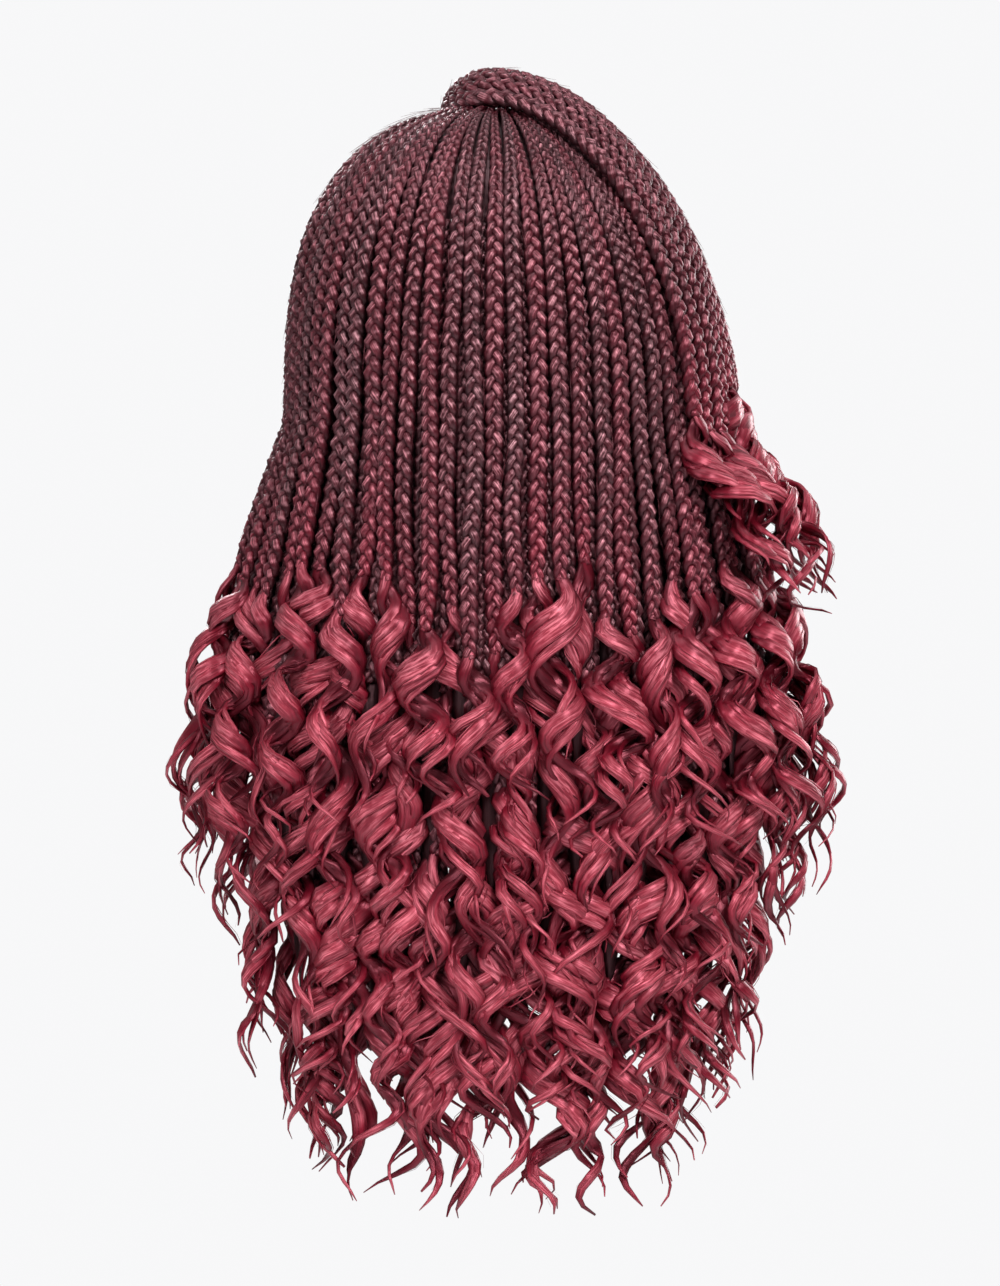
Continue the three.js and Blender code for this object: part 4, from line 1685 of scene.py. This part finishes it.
@dataclass
class Studio:
    """A pale floor, soft light and the camera at the photograph's angle."""

    distance: float = 2.5
    hair_plane_y: float = 0.06
    frame_height: float = 0.7073
    centre_x: float = 0.00275
    centre_z: float = -0.2783
    floor_z: float = -1.6
    backdrop: float = 0.96
    low_light: float = 0.16
    high_light: float = 0.7

    def build_floor(self) -> None:
        """Lay the floor."""
        deselect_all()
        bpy.ops.mesh.primitive_circle_add(
            vertices=96, radius=4.4, fill_type="NGON", location=(0, 0, self.floor_z)
        )
        floor = bpy.context.active_object
        floor.name = "studio_floor"
        floor.data.materials.append(StudioPaper().make())

    def build_lights(self) -> None:
        """Hang the soft boxes."""
        boxes = (
            ("key_box", (-1.1, 2.4, 1.1), 0.8, 78.0),
            ("fill_box", (1.5, 2.0, 0.4), 1.1, 26.0),
            ("top_box", (0.1, 0.5, 1.8), 1.0, 9.0),
            ("front_box", (0.6, -2.3, 0.9), 1.1, 50.0),
            ("front_fill_box", (-1.6, -1.6, 0.2), 1.2, 26.0),
        )
        for name, place, size, power in boxes:
            light = bpy.data.lights.new(name, "AREA")
            light.shape = "DISK"
            light.size = size
            light.energy = power
            lamp = bpy.data.objects.new(name, light)
            lamp.location = place
            aim = np.array([0.0, 0.0, -0.25]) - np.array(place)
            lamp.rotation_euler = (
                math.acos(-aim[2] / np.linalg.norm(aim)),
                0.0,
                math.atan2(aim[1], aim[0]) - math.pi / 2,
            )
            bpy.context.scene.collection.objects.link(lamp)

    def build_air(self) -> None:
        """Set the surroundings: white to look at, with soft light that comes from overhead."""
        world = bpy.data.worlds.new("studio_air")
        world.use_nodes = True
        bpy.context.scene.world = world
        tree = world.node_tree
        tree.nodes.clear()
        direction = add_node(tree, "ShaderNodeTexCoord").outputs["Generated"]
        parts = add_node(tree, "ShaderNodeSeparateXYZ", links={0: direction})
        overhead = add_node(
            tree,
            "ShaderNodeMapRange",
            {"From Min": 0.1, "From Max": 0.75, "To Min": self.low_light, "To Max": self.high_light},
            {"Value": parts.outputs[2]},
        )
        seen = add_node(tree, "ShaderNodeLightPath").outputs["Is Camera Ray"]
        strength = add_node(
            tree, "ShaderNodeMix", {3: self.backdrop}, {0: seen, 2: overhead.outputs[0]}, data_type="FLOAT"
        )
        glow = add_node(
            tree, "ShaderNodeBackground", {"Color": linear(STUDIO_WHITE)}, {"Strength": strength.outputs[0]}
        )
        add_node(tree, "ShaderNodeOutputWorld", None, {0: glow.outputs[0]})

    def build_camera(self) -> None:
        """Set the camera behind the braids, level with their middle."""
        data = bpy.data.cameras.new("camera")
        data.sensor_width = 36.0
        data.lens = data.sensor_width * self.distance / self.frame_height
        data.clip_end = 60.0
        camera = bpy.data.objects.new("camera", data)
        camera.location = (self.centre_x, self.hair_plane_y + self.distance, self.centre_z)
        camera.rotation_euler = (math.pi / 2, 0.0, math.pi)
        bpy.context.scene.collection.objects.link(camera)
        bpy.context.scene.camera = camera

    def build(self) -> None:
        """Set up the studio."""
        self.build_camera()
        self.build_floor()
        self.build_lights()
        self.build_air()
        bpy.context.scene.view_settings.view_transform = "Standard"


def main() -> None:
    """Build the studio and the braids."""
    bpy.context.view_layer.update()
    Studio().build()
    form = CapForm()
    shop = Workshop(form, Plait(), Curl(), Fuzz(), BraidFibre().make())
    StretchCap().build(form, StretchKnit().make())
    HairTie().build(form, CoveredElastic().make())
    Fan().build(shop)
    Tail().build(shop)
    FrontRow().build(shop)
    rows = (
        Row(
            name="upper_row_braids",
            node="row_upper",
            braids=23,
            seat=0.62,
            layer=1,
            curl_top_z=-306.0,
            tip_z=-474.0,
            flare=0.45,
            seed=701,
        ),
        Row(
            name="middle_row_braids",
            node="row_middle",
            braids=21,
            seat=0.44,
            layer=2,
            curl_top_z=-376.0,
            tip_z=-540.0,
            flare=0.38,
            seed=702,
        ),
        Row(
            name="lower_row_braids",
            node="row_lower",
            braids=19,
            seat=0.24,
            layer=3,
            curl_top_z=-426.0,
            tip_z=-566.0,
            flare=0.3,
            seed=703,
        ),
        Row(
            name="nape_row_braids",
            node="row_nape",
            braids=17,
            seat=0.05,
            layer=4,
            curl_top_z=-456.0,
            tip_z=-600.0,
            flare=0.2,
            seed=704,
            first_lay=Lay.PLAITED,
        ),
    )
    for row in rows:
        row.build(shop)
    LOG.info("all strands: %d triangles", sum(shop.triangles.values()))


if __name__ == "__main__":
    main()
